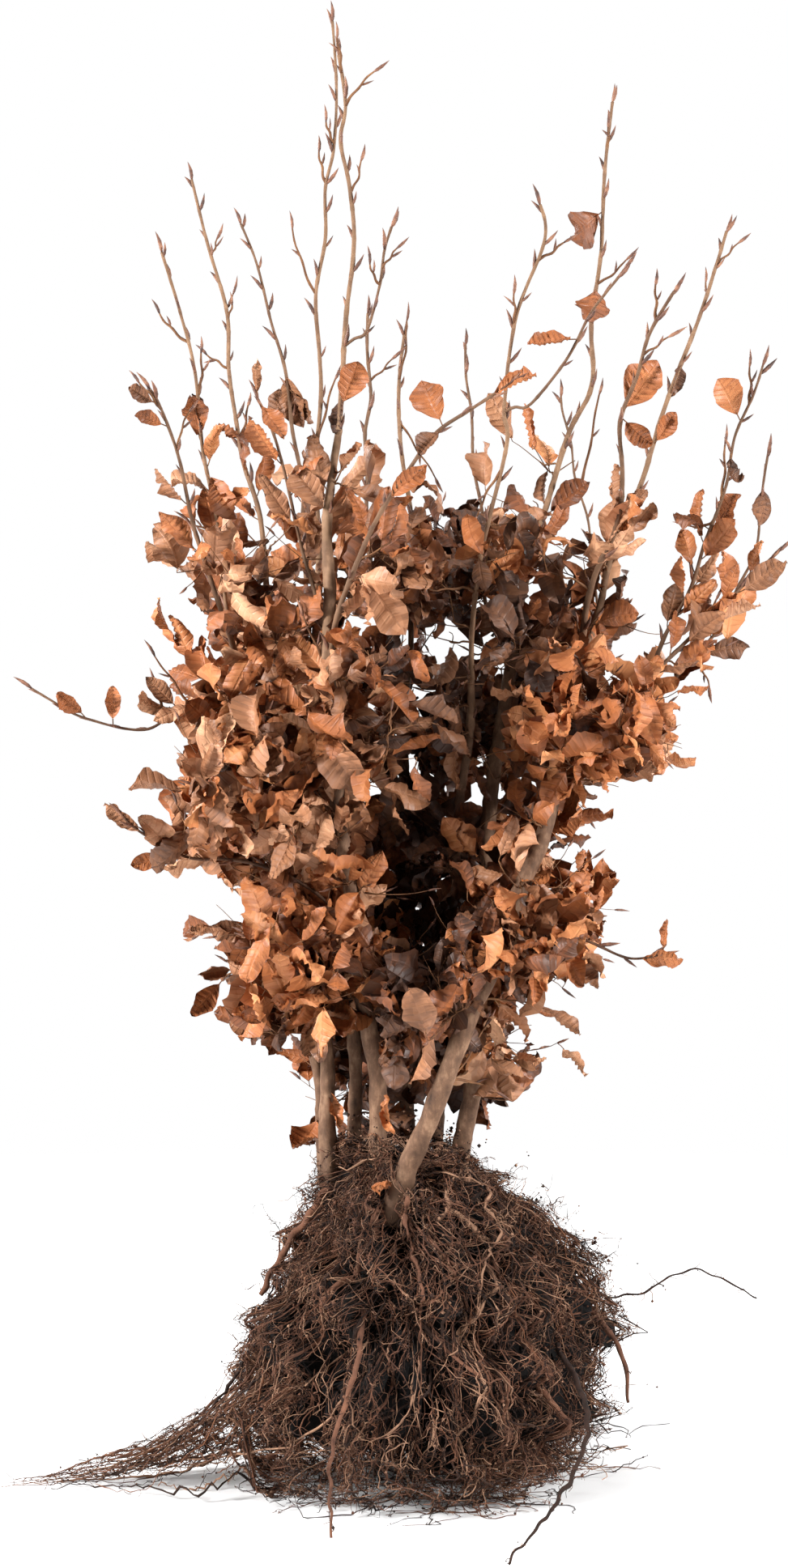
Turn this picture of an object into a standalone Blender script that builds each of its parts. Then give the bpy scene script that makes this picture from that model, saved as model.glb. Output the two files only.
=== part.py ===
"""A clump of common beech saplings lifted with its roots, in dry winter leaf.

Eight stems rise from one root mass. Each runs up through the foliage to a bare leading shoot, and
lesser shoots start inside the foliage. The origin is the centre of the root mass's flat underside,
+Z is up and -Y is the front. All lengths are metres.
"""

import math
from dataclasses import dataclass

import bmesh
import bpy
import numpy as np

# Clearance left where one solid is cut round another, and that between neighbouring leaf masses.
GAP = 0.00035
MASS_GAP = 0.0006

# Sides of a stem and of a thin shoot or root: Blender adds two sides for each step of resolution.
STEM_RESOLUTION = 2
SHOOT_RESOLUTION = 1

# Longest stretch between two rings of a tube.
STEM_STEP = 0.125
SHOOT_STEP = 0.075

# Root flare: the foot of a stem swells by this share, dying away over this height.
FLARE_SHARE = 0.22
FLARE_HEIGHT = 0.045

# Taper of a stem: the share of its thickness that is left at each share of its length. It is stout up
# to where its side twigs leave it inside the foliage, and a thin leading shoot from there.
TAPER_PLACES = (0.0, 0.30, 0.48, 0.56, 0.64, 0.80, 1.0)
TAPER_LEFT = (1.0, 0.80, 0.62, 0.30, 0.16, 0.09, 0.0)

# The zigzag of a bare beech shoot: how far each ring stands aside of the smooth route, and the
# direction that all zigzags are square to.
ZIGZAG = 0.0022
ZIGZAG_AXIS = (0.35, 1.0, 0.2)

# Root mass: how uneven it is, its lumps as (number round, turn in radians per metre of height, share),
# and its outline rings as (height, centre x, half width, half depth).
BALL_SIDES = 16
BALL_LUMP = 0.055
BALL_WAVES = ((3, 14.0, 1.0), (5, -23.0, 0.6))
BALL_RINGS = (
    (0.000, -0.010, 0.165, 0.150),
    (0.030, -0.008, 0.192, 0.175),
    (0.110, 0.002, 0.205, 0.190),
    (0.200, 0.014, 0.192, 0.180),
    (0.260, 0.005, 0.158, 0.150),
    (0.305, -0.008, 0.128, 0.124),
    (0.345, -0.022, 0.100, 0.100),
    (0.380, -0.027, 0.084, 0.080),
    (0.398, -0.028, 0.058, 0.054),
)

# Leaf masses: the segments and rings of the sphere each starts as, the size of its lumps, and its lumps
# as (share, fading towards the poles, number round, number up).
MASS_SEGMENTS = 12
MASS_RINGS = 8
MASS_LUMP = 0.085
MASS_WAVES = ((1.0, 1, 2, 0), (1.0, 1, 3, 2), (0.8, 2, 5, 0), (0.8, 0, 0, 3), (0.6, 0, 0, 6))

WOOD_GREY = (0.26, 0.19, 0.14)
WOOD_TAN = (0.36, 0.24, 0.14)
ROOT_BROWN = (0.10, 0.062, 0.042)
LEAF_BROWN = (0.36, 0.17, 0.075)


@dataclass(frozen=True)
class Limb:
    """One tapering stem, shoot or root: its route from foot to tip and its two end radii.

    A stem's shoulder is how much further up than usual, as a share of its length, it stays stout.
    """

    name: str
    route: tuple
    foot_radius: float
    tip_radius: float
    zigzag: float = ZIGZAG
    shoulder: float = 0.0


@dataclass(frozen=True)
class Mass:
    """One uneven mass of leaves: its centre, its half sizes and how far its top leans over."""

    name: str
    centre: tuple
    half: tuple
    lean: tuple = (0.0, 0.0)


@dataclass(frozen=True)
class Spread:
    """A fan of roots lying on the floor: where it leaves the root mass, and how it narrows."""

    name: str
    start: tuple
    tip: tuple
    start_half_width: float
    start_height: float
    tip_half_width: float
    tip_height: float


# The stems, numbered from left to right at the collar. Each runs whole from its flat foot inside the
# root mass, through the foliage, to the bud at the end of its leading shoot.
STEMS = (
    Limb("stem_1", ((-0.100, 0.034, 0.310), (-0.113, 0.034, 0.446), (-0.150, 0.030, 0.656),
                    (-0.194, 0.000, 0.873), (-0.232, -0.060, 1.139), (-0.253, -0.095, 1.280),
                    (-0.280, -0.120, 1.363)), 0.0058, 0.0012),
    Limb("stem_2", ((-0.094, 0.000, 0.305), (-0.102, 0.000, 0.468), (-0.119, 0.030, 0.637),
                    (-0.151, 0.060, 0.838), (-0.180, 0.090, 1.076), (-0.210, 0.120, 1.196),
                    (-0.222, 0.150, 1.324), (-0.268, 0.190, 1.505)), 0.0088, 0.0013),
    Limb("stem_3", ((-0.066, 0.026, 0.300), (-0.071, 0.030, 0.465), (-0.083, 0.045, 0.637),
                    (-0.107, 0.060, 0.838), (-0.113, 0.060, 1.130), (-0.108, 0.055, 1.263),
                    (-0.116, 0.050, 1.328), (-0.101, 0.045, 1.389), (-0.105, 0.040, 1.446),
                    (-0.091, 0.030, 1.489), (-0.096, 0.020, 1.648)), 0.0080, 0.0011),
    Limb("stem_4", ((-0.037, -0.030, 0.295), (-0.046, -0.035, 0.453), (-0.062, -0.050, 0.564),
                    (-0.084, -0.100, 0.748), (-0.094, -0.130, 0.903), (-0.095, -0.120, 1.060),
                    (-0.076, -0.080, 1.276), (-0.071, -0.060, 1.420), (-0.086, -0.050, 1.478),
                    (-0.077, -0.040, 1.524), (-0.090, -0.030, 1.597)), 0.0098, 0.0012, shoulder=0.07),
    Limb("stem_5", ((-0.008, 0.050, 0.300), (-0.012, 0.060, 0.517), (-0.016, 0.100, 0.746),
                    (-0.008, 0.150, 0.934), (-0.007, 0.180, 1.084), (-0.022, 0.225, 1.250),
                    (-0.011, 0.245, 1.330)), 0.0088, 0.0016),
    Limb("stem_6", ((-0.030, -0.074, 0.300), (0.015, -0.105, 0.426), (0.061, -0.110, 0.535),
                    (0.109, -0.090, 0.651), (0.155, -0.050, 0.783), (0.184, -0.010, 0.908),
                    (0.220, 0.030, 1.029), (0.287, 0.090, 1.209), (0.366, 0.145, 1.434)),
         0.0112, 0.0015),
    Limb("stem_7", ((0.022, 0.052, 0.300), (0.031, 0.060, 0.471), (0.041, 0.050, 0.655),
                    (0.057, 0.000, 0.837), (0.068, -0.075, 1.030), (0.097, -0.110, 1.137),
                    (0.090, -0.120, 1.180), (0.106, -0.150, 1.271), (0.131, -0.175, 1.350),
                    (0.121, -0.185, 1.399)), 0.0062, 0.0013),
    Limb("stem_8", ((0.042, 0.010, 0.300), (0.061, 0.015, 0.448), (0.075, 0.030, 0.656),
                    (0.101, 0.060, 0.884), (0.150, 0.098, 1.105), (0.200, 0.115, 1.235),
                    (0.204, 0.120, 1.310), (0.231, 0.155, 1.588)), 0.0106, 0.0014),
)

# Lesser shoots. Each starts inside a leaf mass.
SHOOTS = (
    Limb("shoot_left_outer", ((-0.223, -0.080, 0.993), (-0.241, -0.100, 1.059),
                              (-0.273, -0.150, 1.179), (-0.292, -0.160, 1.203)), 0.0024, 0.0010),
    Limb("shoot_left_back", ((-0.130, 0.125, 0.890), (-0.134, 0.158, 1.120), (-0.169, 0.210, 1.322),
                             (-0.215, 0.240, 1.459)), 0.0027, 0.0011),
    Limb("shoot_left_front", ((-0.128, -0.085, 1.040), (-0.140, -0.110, 1.105),
                              (-0.178, -0.130, 1.201)), 0.0017, 0.0010),
    Limb("shoot_left_low", ((-0.191, -0.050, 0.864), (-0.252, -0.060, 0.860),
                            (-0.297, -0.070, 0.834), (-0.362, -0.085, 0.847),
                            (-0.430, -0.100, 0.887)), 0.0015, 0.0009, 0.0),
    Limb("shoot_left_lowest", ((-0.205, -0.100, 0.694), (-0.248, -0.120, 0.697),
                               (-0.296, -0.145, 0.725), (-0.322, -0.155, 0.750)), 0.0014, 0.0009, 0.0),
    Limb("shoot_centre_front", ((-0.074, -0.165, 0.985), (-0.014, -0.180, 1.103),
                                (0.055, -0.203, 1.168), (0.109, -0.215, 1.199)), 0.0027, 0.0011),
    Limb("shoot_centre_back", ((-0.050, 0.130, 1.010), (-0.059, 0.150, 1.139),
                               (-0.055, 0.180, 1.229), (-0.056, 0.200, 1.348)), 0.0026, 0.0014),
    Limb("shoot_centre_right_back", ((0.078, 0.140, 1.000), (0.075, 0.160, 1.091),
                                     (0.064, 0.200, 1.209), (0.060, 0.240, 1.315)), 0.0021, 0.0010),
    Limb("shoot_right_inner", ((0.196, -0.070, 1.010), (0.217, -0.100, 1.055),
                               (0.217, -0.138, 1.160), (0.246, -0.172, 1.250),
                               (0.277, -0.190, 1.306)), 0.0030, 0.0013),
    Limb("shoot_right_back", ((0.205, 0.130, 0.880), (0.207, 0.160, 1.030), (0.182, 0.215, 1.180),
                              (0.173, 0.235, 1.252)), 0.0014, 0.0009),
    Limb("shoot_right_outer", ((0.254, -0.020, 0.890), (0.316, -0.050, 1.037),
                               (0.345, -0.085, 1.150), (0.375, -0.110, 1.241)), 0.0022, 0.0009),
    Limb("shoot_right_outermost", ((0.262, 0.075, 0.855), (0.338, 0.055, 0.950),
                                   (0.380, 0.045, 1.040), (0.395, 0.020, 1.162)), 0.0018, 0.0009),
    Limb("shoot_right_low", ((0.242, -0.060, 0.880), (0.340, -0.040, 0.976),
                             (0.409, -0.030, 1.042)), 0.0022, 0.0012, 0.0),
    Limb("shoot_right_lowest", ((0.140, -0.095, 0.622), (0.186, -0.115, 0.605),
                                (0.227, -0.130, 0.589), (0.272, -0.145, 0.597)), 0.0013, 0.0009, 0.0),
)

# Forks outside the foliage: (bough, the stem that it leaves).
FORKS = (
    (Limb("fork_right", ((0.096, -0.111, 1.136), (0.122, -0.132, 1.179), (0.156, -0.152, 1.227),
                         (0.207, -0.190, 1.306), (0.223, -0.200, 1.324)), 0.0015, 0.0010), "stem_7"),
    (Limb("fork_centre", ((-0.081, -0.093, 1.216), (-0.053, -0.102, 1.262), (-0.043, -0.106, 1.312),
                          (-0.023, -0.115, 1.388)), 0.0015, 0.0010), "stem_4"),
)

# Stout single roots outside the mass. Each starts inside it.
ROOTS = (
    Limb("root_right_thick", ((0.150, -0.020, 0.222), (0.203, -0.033, 0.182),
                              (0.225, -0.050, 0.144), (0.233, -0.055, 0.100)), 0.0046, 0.0018, 0.0),
    Limb("root_right_fine", ((0.150, 0.020, 0.214), (0.240, 0.030, 0.201), (0.312, 0.050, 0.227),
                             (0.387, 0.070, 0.190)), 0.0013, 0.0009, 0.0),
    Limb("root_front_left", ((-0.058, -0.140, 0.215), (-0.067, -0.185, 0.155),
                             (-0.089, -0.215, 0.090), (-0.091, -0.262, 0.006)), 0.0034, 0.0014, 0.0),
    Limb("root_front_right", ((0.150, -0.100, 0.170), (0.179, -0.160, 0.110),
                              (0.150, -0.240, 0.048), (0.088, -0.346, 0.004)), 0.0036, 0.0012, 0.0),
    Limb("root_left_collar", ((-0.095, -0.020, 0.330), (-0.138, -0.032, 0.274),
                              (-0.172, -0.050, 0.215)), 0.0052, 0.0030, 0.0),
    Limb("root_back", ((0.020, 0.140, 0.200), (0.040, 0.190, 0.130), (0.030, 0.245, 0.045),
                       (-0.010, 0.310, 0.005)), 0.0036, 0.0013, 0.0),
)

SPREADS = (
    Spread("root_spread_left", (-0.120, -0.020), (-0.462, -0.035), 0.135, 0.150, 0.012, 0.006),
    Spread("root_spread_back", (0.060, 0.100), (0.235, 0.245), 0.105, 0.110, 0.018, 0.008),
)
SPREAD_RINGS = 7
SPREAD_ARC = 6
SPREAD_FALL = 1.6
SPREAD_WAVE = 0.008
SPREAD_WAVE_TURN = 9.0

MASSES = (
    Mass("leaves_left_upper", (-0.182, -0.015, 0.995), (0.092, 0.130, 0.128), (-0.10, 0.0)),
    Mass("leaves_left_middle", (-0.188, -0.090, 0.775), (0.112, 0.115, 0.120), (-0.10, 0.0)),
    Mass("leaves_left_back", (-0.155, 0.125, 0.800), (0.108, 0.105, 0.155), (-0.10, 0.10)),
    Mass("leaves_left_low", (-0.155, -0.020, 0.572), (0.108, 0.148, 0.106), (-0.05, 0.0)),
    Mass("leaves_centre_upper", (-0.038, -0.095, 0.918), (0.074, 0.105, 0.188)),
    Mass("leaves_centre_back", (0.030, 0.125, 0.945), (0.100, 0.105, 0.172), (0.0, 0.10)),
    Mass("leaves_centre_low", (-0.002, -0.088, 0.602), (0.080, 0.100, 0.138)),
    Mass("leaves_centre_low_back", (0.010, 0.112, 0.608), (0.112, 0.105, 0.140)),
    Mass("leaves_right_low", (0.128, -0.050, 0.622), (0.082, 0.122, 0.105), (0.15, 0.0)),
    Mass("leaves_right_middle", (0.212, -0.065, 0.852), (0.108, 0.110, 0.110), (0.30, 0.0)),
    Mass("leaves_right_back", (0.185, 0.120, 0.835), (0.100, 0.102, 0.135), (0.20, 0.10)),
    Mass("leaves_right_upper", (0.160, -0.015, 1.030), (0.068, 0.120, 0.092), (0.10, 0.0)),
    Mass("leaves_centre_right", (0.078, -0.055, 0.945), (0.052, 0.088, 0.158)),
)


def clear_scene():
    """Remove every object that the file opened with."""
    for thing in list(bpy.data.objects):
        bpy.data.objects.remove(thing, do_unlink=True)


def new_collection(name, hidden=False):
    """Return a new collection under the scene's own; a hidden one is left out of renders."""
    collection = bpy.data.collections.new(name)
    collection.hide_render = hidden
    bpy.context.scene.collection.children.link(collection)
    return collection


def new_material(name, colour, roughness):
    """Return a plain Principled material."""
    material = bpy.data.materials.new(name)
    material.use_nodes = True
    shader = material.node_tree.nodes["Principled BSDF"]
    shader.inputs["Base Color"].default_value = (*colour, 1.0)
    shader.inputs["Roughness"].default_value = roughness
    shader.inputs["Metallic"].default_value = 0.0
    return material


def smooth_route(knots, step):
    """Return points along a Catmull-Rom curve through the knots, no further apart than step."""
    knots = np.array(knots, dtype=float)
    ends = np.vstack([2 * knots[0] - knots[1], knots, 2 * knots[-1] - knots[-2]])
    route = []
    for before, start, end, after in zip(ends[:-3], ends[1:-2], ends[2:-1], ends[3:]):
        pieces = max(1, math.ceil(np.linalg.norm(end - start) / step))
        t = (np.arange(pieces) / pieces)[:, None]
        route.append(0.5 * (2 * start + (end - before) * t
                            + (2 * before - 5 * start + 4 * end - after) * t ** 2
                            + (3 * start - before - 3 * end + after) * t ** 3))
    return np.vstack([*route, knots[-1:]])


def kinked(route, amount):
    """Shift each inner point to alternate sides of the route, square to it and to the vertical."""
    along = np.gradient(route, axis=0)
    side = np.cross(along, ZIGZAG_AXIS)
    side /= np.linalg.norm(side, axis=1)[:, None]
    sign = np.where(np.arange(len(route)) % 2, 1.0, -1.0)
    sign[[0, -1]] = 0.0
    return route + side * (amount * sign)[:, None]


def limb_rings(limb, step, stem):
    """Return the ring centres and radii of a limb. A stem's taper is stepped, and a shoot's is even."""
    route = kinked(smooth_route(limb.route, step), limb.zigzag)
    lengths = np.linalg.norm(np.diff(route, axis=0), axis=1)
    distance = np.concatenate([[0.0], np.cumsum(lengths)])
    share = distance / distance[-1]
    left = np.interp(share - limb.shoulder, TAPER_PLACES, TAPER_LEFT) if stem else 1.0 - share
    radii = limb.tip_radius + (limb.foot_radius - limb.tip_radius) * left
    if stem:
        radii = radii * (1.0 + FLARE_SHARE * np.exp(-distance / FLARE_HEIGHT))
    return route, radii


def tube(name, route, radii, resolution, collection, material=None):
    """Return a curve object: a tapering round tube with filled ends."""
    curve = bpy.data.curves.new(name, "CURVE")
    curve.dimensions = "3D"
    curve.bevel_depth = float(radii[0])
    curve.bevel_resolution = resolution
    curve.use_fill_caps = True
    spline = curve.splines.new("POLY")
    spline.points.add(len(route) - 1)
    spline.points.foreach_set("co", np.column_stack([route, np.ones(len(route))]).ravel())
    spline.points.foreach_set("radius", radii / radii[0])
    spline.use_smooth = True
    thing = bpy.data.objects.new(name, curve)
    collection.objects.link(thing)
    if material:
        curve.materials.append(material)
    return thing


def as_mesh(thing, collection):
    """Replace a curve object, or one with modifiers, with the closed mesh that it evaluates to."""
    bpy.context.view_layer.update()
    evaluated = thing.evaluated_get(bpy.context.evaluated_depsgraph_get())
    mesh = bpy.data.meshes.new_from_object(evaluated)
    name = thing.name
    matrix = thing.matrix_world.copy()
    bpy.data.objects.remove(thing, do_unlink=True)
    work = bmesh.new()
    work.from_mesh(mesh)
    bmesh.ops.remove_doubles(work, verts=work.verts, dist=1e-6)
    work.to_mesh(mesh)
    work.free()
    solid = bpy.data.objects.new(name, mesh)
    solid.matrix_world = matrix
    collection.objects.link(solid)
    return solid


def hide(thing):
    """Mark an object as a cutter."""
    thing.display_type = "WIRE"
    thing.hide_render = True
    return thing


def limb_cutter(limb, step, stem, resolution, cutters):
    """Return a hidden mesh of the limb, grown by the gap all round and past its foot and tip."""
    route, radii = limb_rings(limb, step, stem)
    grown = route.copy()
    for end, inner in ((0, 1), (-1, -2)):
        outward = route[end] - route[inner]
        grown[end] = route[end] + outward * (GAP / np.linalg.norm(outward))
    return hide(as_mesh(tube(f"{limb.name}.cutter", grown, radii + GAP, resolution, cutters), cutters))


def box_of(thing):
    """Return the lowest and highest corner of a mesh object placed at the origin."""
    points = np.empty(len(thing.data.vertices) * 3)
    thing.data.vertices.foreach_get("co", points)
    points = points.reshape(-1, 3)
    return points.min(axis=0), points.max(axis=0)


def meet(one, other):
    """Return whether the boxes of two mesh objects overlap."""
    low_one, high_one = box_of(one)
    low_other, high_other = box_of(other)
    return bool(np.all(low_one <= high_other) and np.all(low_other <= high_one))


def largest_piece(mesh):
    """Delete all but the largest connected piece of a mesh."""
    work = bmesh.new()
    work.from_mesh(mesh)
    left = set(work.verts)
    pieces = []
    while left:
        piece = {left.pop()}
        edge = list(piece)
        while edge:
            found = {other for vert in edge for link in vert.link_edges for other in link.verts}
            edge = list(found - piece)
            piece |= found
        left -= piece
        pieces.append(piece)
    pieces.sort(key=len, reverse=True)
    spare = [vert for piece in pieces[1:] for vert in piece]
    bmesh.ops.delete(work, geom=spare, context="VERTS")
    work.to_mesh(mesh)
    work.free()


def cut_round(thing, cutters, collection):
    """Cut each cutter that reaches the mesh object out of it, and return the one piece left."""
    for cutter in cutters:
        if not meet(thing, cutter):
            continue
        boolean = thing.modifiers.new(cutter.name, "BOOLEAN")
        boolean.operation = "DIFFERENCE"
        boolean.solver = "EXACT"
        boolean.object = cutter
    solid = as_mesh(thing, collection)
    largest_piece(solid.data)
    return solid


def mesh_object(name, points, faces, collection, material=None):
    """Return a mesh object from points and faces, shaded smooth."""
    mesh = bpy.data.meshes.new(name)
    mesh.from_pydata(points.tolist(), [], faces)
    mesh.validate()
    mesh.shade_smooth()
    thing = bpy.data.objects.new(name, mesh)
    if material:
        mesh.materials.append(material)
    collection.objects.link(thing)
    return thing


def lofted(name, rings, collection, material=None):
    """Join rings of points, listed anticlockwise seen from the last ring, into a closed solid."""
    count, sides = rings.shape[:2]
    faces = []
    for ring in range(count - 1):
        for side in range(sides):
            low, low_next = ring * sides + side, ring * sides + (side + 1) % sides
            faces.append((low, low_next, low_next + sides))
            faces.append((low, low_next + sides, low + sides))
    faces.append(tuple(reversed(range(sides))))
    faces.append(tuple(range((count - 1) * sides, count * sides)))
    return mesh_object(name, rings.reshape(-1, 3), faces, collection, material)


def ball_rings(grow=0.0):
    """Return the outline rings of the root mass: ellipses with lumps that turn as they climb."""
    angle = np.arange(BALL_SIDES) * (2 * math.pi / BALL_SIDES)
    rings = []
    for height, centre_x, half_width, half_depth in BALL_RINGS:
        waves = sum(share * np.sin(number * angle + turn * height) for number, turn, share in BALL_WAVES)
        lump = 1.0 + BALL_LUMP * waves
        x = centre_x + (half_width * lump + grow) * np.cos(angle)
        y = (half_depth * lump + grow) * np.sin(angle)
        rings.append(np.column_stack([x, y, np.full(BALL_SIDES, height)]))
    rings = np.array(rings)
    rings[-1, :, 2] += grow
    rings[0, :, 2] -= grow
    return rings


def spread_rings(spread):
    """Return the rings of a fan of roots: half rounds that lie flat on the floor and narrow."""
    start = np.array(spread.start)
    run = np.array(spread.tip) - start
    side = np.array([-run[1], run[0]]) / np.linalg.norm(run)
    arc = np.linspace(0.0, math.pi, SPREAD_ARC + 1)
    share = np.linspace(0.0, 1.0, SPREAD_RINGS)
    fall = (1.0 - share) ** SPREAD_FALL
    half_width = spread.tip_half_width + (spread.start_half_width - spread.tip_half_width) * fall
    height = spread.tip_height + (spread.start_height - spread.tip_height) * fall
    wave = SPREAD_WAVE * np.sin(SPREAD_WAVE_TURN * share)
    across = half_width[:, None] * np.cos(arc) + wave[:, None]
    ground = start + run * share[:, None, None] + side * across[:, :, None]
    z = height[:, None] * np.sin(arc)
    return np.concatenate([ground, z[:, :, None]], axis=2)[:, ::-1]


def mass_points(mass, unit, seed, grow):
    """Return the points of a unit sphere shaped into an uneven leaf mass.

    Each point's distance from the centre is scaled by a sum of waves round and up the sphere, whose
    phases are drawn from the seed. The sphere is then stretched to the half sizes and leant over.
    """
    phases = np.random.default_rng(seed).uniform(0.0, 2 * math.pi, len(MASS_WAVES))
    turn = np.arctan2(unit[:, 1], unit[:, 0])
    rise = np.arcsin(np.clip(unit[:, 2], -1.0, 1.0))
    level = np.cos(rise)
    waves = sum(share * level ** fading * np.sin(round_ * turn + up * rise + phase)
                for (share, fading, round_, up), phase in zip(MASS_WAVES, phases))
    half = np.array(mass.half)
    points = unit * (1.0 + MASS_LUMP * waves[:, None]) * half
    points += grow * unit / half * half.min()
    points[:, :2] += points[:, 2:] * np.array(mass.lean)
    return points + np.array(mass.centre)


def mass_object(mass, seed, grow, collection, material=None):
    """Return a leaf mass as a closed mesh, grown by the given amount."""
    work = bmesh.new()
    bmesh.ops.create_uvsphere(work, u_segments=MASS_SEGMENTS, v_segments=MASS_RINGS, radius=1.0)
    bmesh.ops.triangulate(work, faces=work.faces)
    mesh = bpy.data.meshes.new(mass.name)
    work.to_mesh(mesh)
    work.free()
    unit = np.empty(len(mesh.vertices) * 3)
    mesh.vertices.foreach_get("co", unit)
    unit = unit.reshape(-1, 3)
    unit /= np.linalg.norm(unit, axis=1)[:, None]
    mesh.vertices.foreach_set("co", mass_points(mass, unit, seed, grow).ravel())
    mesh.shade_smooth()
    thing = bpy.data.objects.new(mass.name, mesh)
    if material:
        mesh.materials.append(material)
    collection.objects.link(thing)
    return thing


def build_stems(plant, cutters, material):
    """Make the eight whole stems, and return their cutters by name."""
    made = {}
    for limb in STEMS:
        route, radii = limb_rings(limb, STEM_STEP, True)
        tube(limb.name, route, radii, STEM_RESOLUTION, plant, material)
        made[limb.name] = limb_cutter(limb, STEM_STEP, True, STEM_RESOLUTION, cutters)
    return made


def build_thin(limbs, plant, cutters, material):
    """Make thin shoots or roots, and return their cutters."""
    made = []
    for limb in limbs:
        route, radii = limb_rings(limb, SHOOT_STEP, False)
        tube(limb.name, route, radii, SHOOT_RESOLUTION, plant, material)
        made.append(limb_cutter(limb, SHOOT_STEP, False, SHOOT_RESOLUTION, cutters))
    return made


def build_forks(plant, stem_cutters, material):
    """Make the boughs that fork from a bare stem, each cut to seat on that stem."""
    for limb, stem in FORKS:
        route, radii = limb_rings(limb, SHOOT_STEP, False)
        blank = as_mesh(tube(limb.name, route, radii, SHOOT_RESOLUTION, plant, material), plant)
        cut_round(blank, [stem_cutters[stem]], plant)


def build_masses(plant, cutters, limb_cutters, material):
    """Make the leaf masses, each cut round the limbs and round the masses made before it."""
    earlier = []
    for seed, mass in enumerate(MASSES, start=1):
        blank = mass_object(mass, seed, 0.0, plant, material)
        cut_round(blank, [*earlier, *limb_cutters], plant)
        grown = hide(mass_object(mass, seed, MASS_GAP, cutters))
        grown.name = f"{mass.name}.cutter"
        earlier.append(grown)


def build_roots(plant, cutters, socket_cutters, material):
    """Make the root mass with its sockets, and the fans of roots that lie against it."""
    ball = lofted("root_ball", ball_rings(), plant, material)
    ball_cutter = hide(lofted("root_ball.cutter", ball_rings(GAP), cutters))
    cut_round(ball, socket_cutters, plant)
    for spread in SPREADS:
        blank = lofted(spread.name, spread_rings(spread), plant, material)
        cut_round(blank, [ball_cutter, *socket_cutters], plant)


def main():
    """Build the plant."""
    clear_scene()
    plant = new_collection("sapling_with_root_ball")
    cutters = new_collection("cutters", hidden=True)
    bark = new_material("stem_bark", WOOD_GREY, 0.75)
    shoot_bark = new_material("shoot_bark", WOOD_TAN, 0.6)
    root = new_material("root_fibre", ROOT_BROWN, 0.9)
    leaf = new_material("dry_leaf", LEAF_BROWN, 0.7)
    stem_cutters = build_stems(plant, cutters, bark)
    shoot_cutters = build_thin(SHOOTS, plant, cutters, shoot_bark)
    root_cutters = build_thin(ROOTS, plant, cutters, root)
    build_forks(plant, stem_cutters, shoot_bark)
    build_masses(plant, cutters, [*stem_cutters.values(), *shoot_cutters], leaf)
    build_roots(plant, cutters, [*stem_cutters.values(), *root_cutters], root)


if __name__ == "__main__":
    main()
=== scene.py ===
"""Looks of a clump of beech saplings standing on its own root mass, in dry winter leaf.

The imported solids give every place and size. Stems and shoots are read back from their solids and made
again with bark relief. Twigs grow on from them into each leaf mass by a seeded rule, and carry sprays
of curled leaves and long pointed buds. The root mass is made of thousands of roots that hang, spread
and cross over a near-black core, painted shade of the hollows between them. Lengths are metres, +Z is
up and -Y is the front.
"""

import logging
import math
from dataclasses import dataclass, field, replace
from enum import Enum

import bpy
import numpy as np
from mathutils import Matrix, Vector
from mathutils.bvhtree import BVHTree


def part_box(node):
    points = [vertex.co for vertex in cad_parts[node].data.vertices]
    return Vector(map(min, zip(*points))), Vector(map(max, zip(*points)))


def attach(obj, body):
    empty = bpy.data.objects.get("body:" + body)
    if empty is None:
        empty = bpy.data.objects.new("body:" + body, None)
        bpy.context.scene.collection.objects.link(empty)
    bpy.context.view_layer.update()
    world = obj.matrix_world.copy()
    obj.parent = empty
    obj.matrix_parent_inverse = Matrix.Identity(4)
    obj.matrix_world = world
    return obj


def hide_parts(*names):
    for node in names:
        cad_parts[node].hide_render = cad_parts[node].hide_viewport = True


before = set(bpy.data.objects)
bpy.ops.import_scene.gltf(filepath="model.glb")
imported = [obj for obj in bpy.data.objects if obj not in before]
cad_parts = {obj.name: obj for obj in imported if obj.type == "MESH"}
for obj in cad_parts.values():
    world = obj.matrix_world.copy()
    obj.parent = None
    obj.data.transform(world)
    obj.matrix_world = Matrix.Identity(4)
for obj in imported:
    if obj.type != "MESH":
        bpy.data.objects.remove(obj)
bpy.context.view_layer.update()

LOG = logging.getLogger("sapling")
BODY = "root"
SEED = 20261
TURN = 2.0 * math.pi
UP = np.array([0.0, 0.0, 1.0])
FRONT = np.array([0.0, -1.0, 0.0])
Array = np.ndarray
Chance = np.random.Generator
Span = tuple[float, float]


# ---- Numbers and shapes shared by every sub-assembly ----


def unit(vectors: Array) -> Array:
    """Scale the vectors on an array's last axis to length one."""
    return vectors / np.maximum(np.linalg.norm(vectors, axis=-1, keepdims=True), 1e-12)


def square_to(vectors: Array, axes: Array) -> Array:
    """Return unit vectors square to the axes, as near as may be to the given vectors."""
    return unit(vectors - axes * np.sum(vectors * axes, axis=-1, keepdims=True))


def headings(paths: Array) -> Array:
    """Return the unit heading at each point of paths of shape (..., points, 3)."""
    return unit(np.gradient(paths, axis=-2))


def in_turn(count: int) -> Array:
    """Return +1 and -1 in turn, one to a row."""
    return np.where(np.arange(count) % 2 == 0, 1.0, -1.0)[:, None]


def even_turns(count: int) -> Array:
    """Return evenly spaced angles round a circle."""
    return np.arange(count) * (TURN / count)


def polar(turn: Array, reach: Array | float, height: Array | float, middle: Span = (0.0, 0.0)) -> Array:
    """Return the points at turns, reaches and heights round an upright axis."""
    x, y = middle[0] + reach * np.cos(turn), middle[1] + reach * np.sin(turn)
    return np.stack(np.broadcast_arrays(x, y, height), axis=-1)


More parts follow.
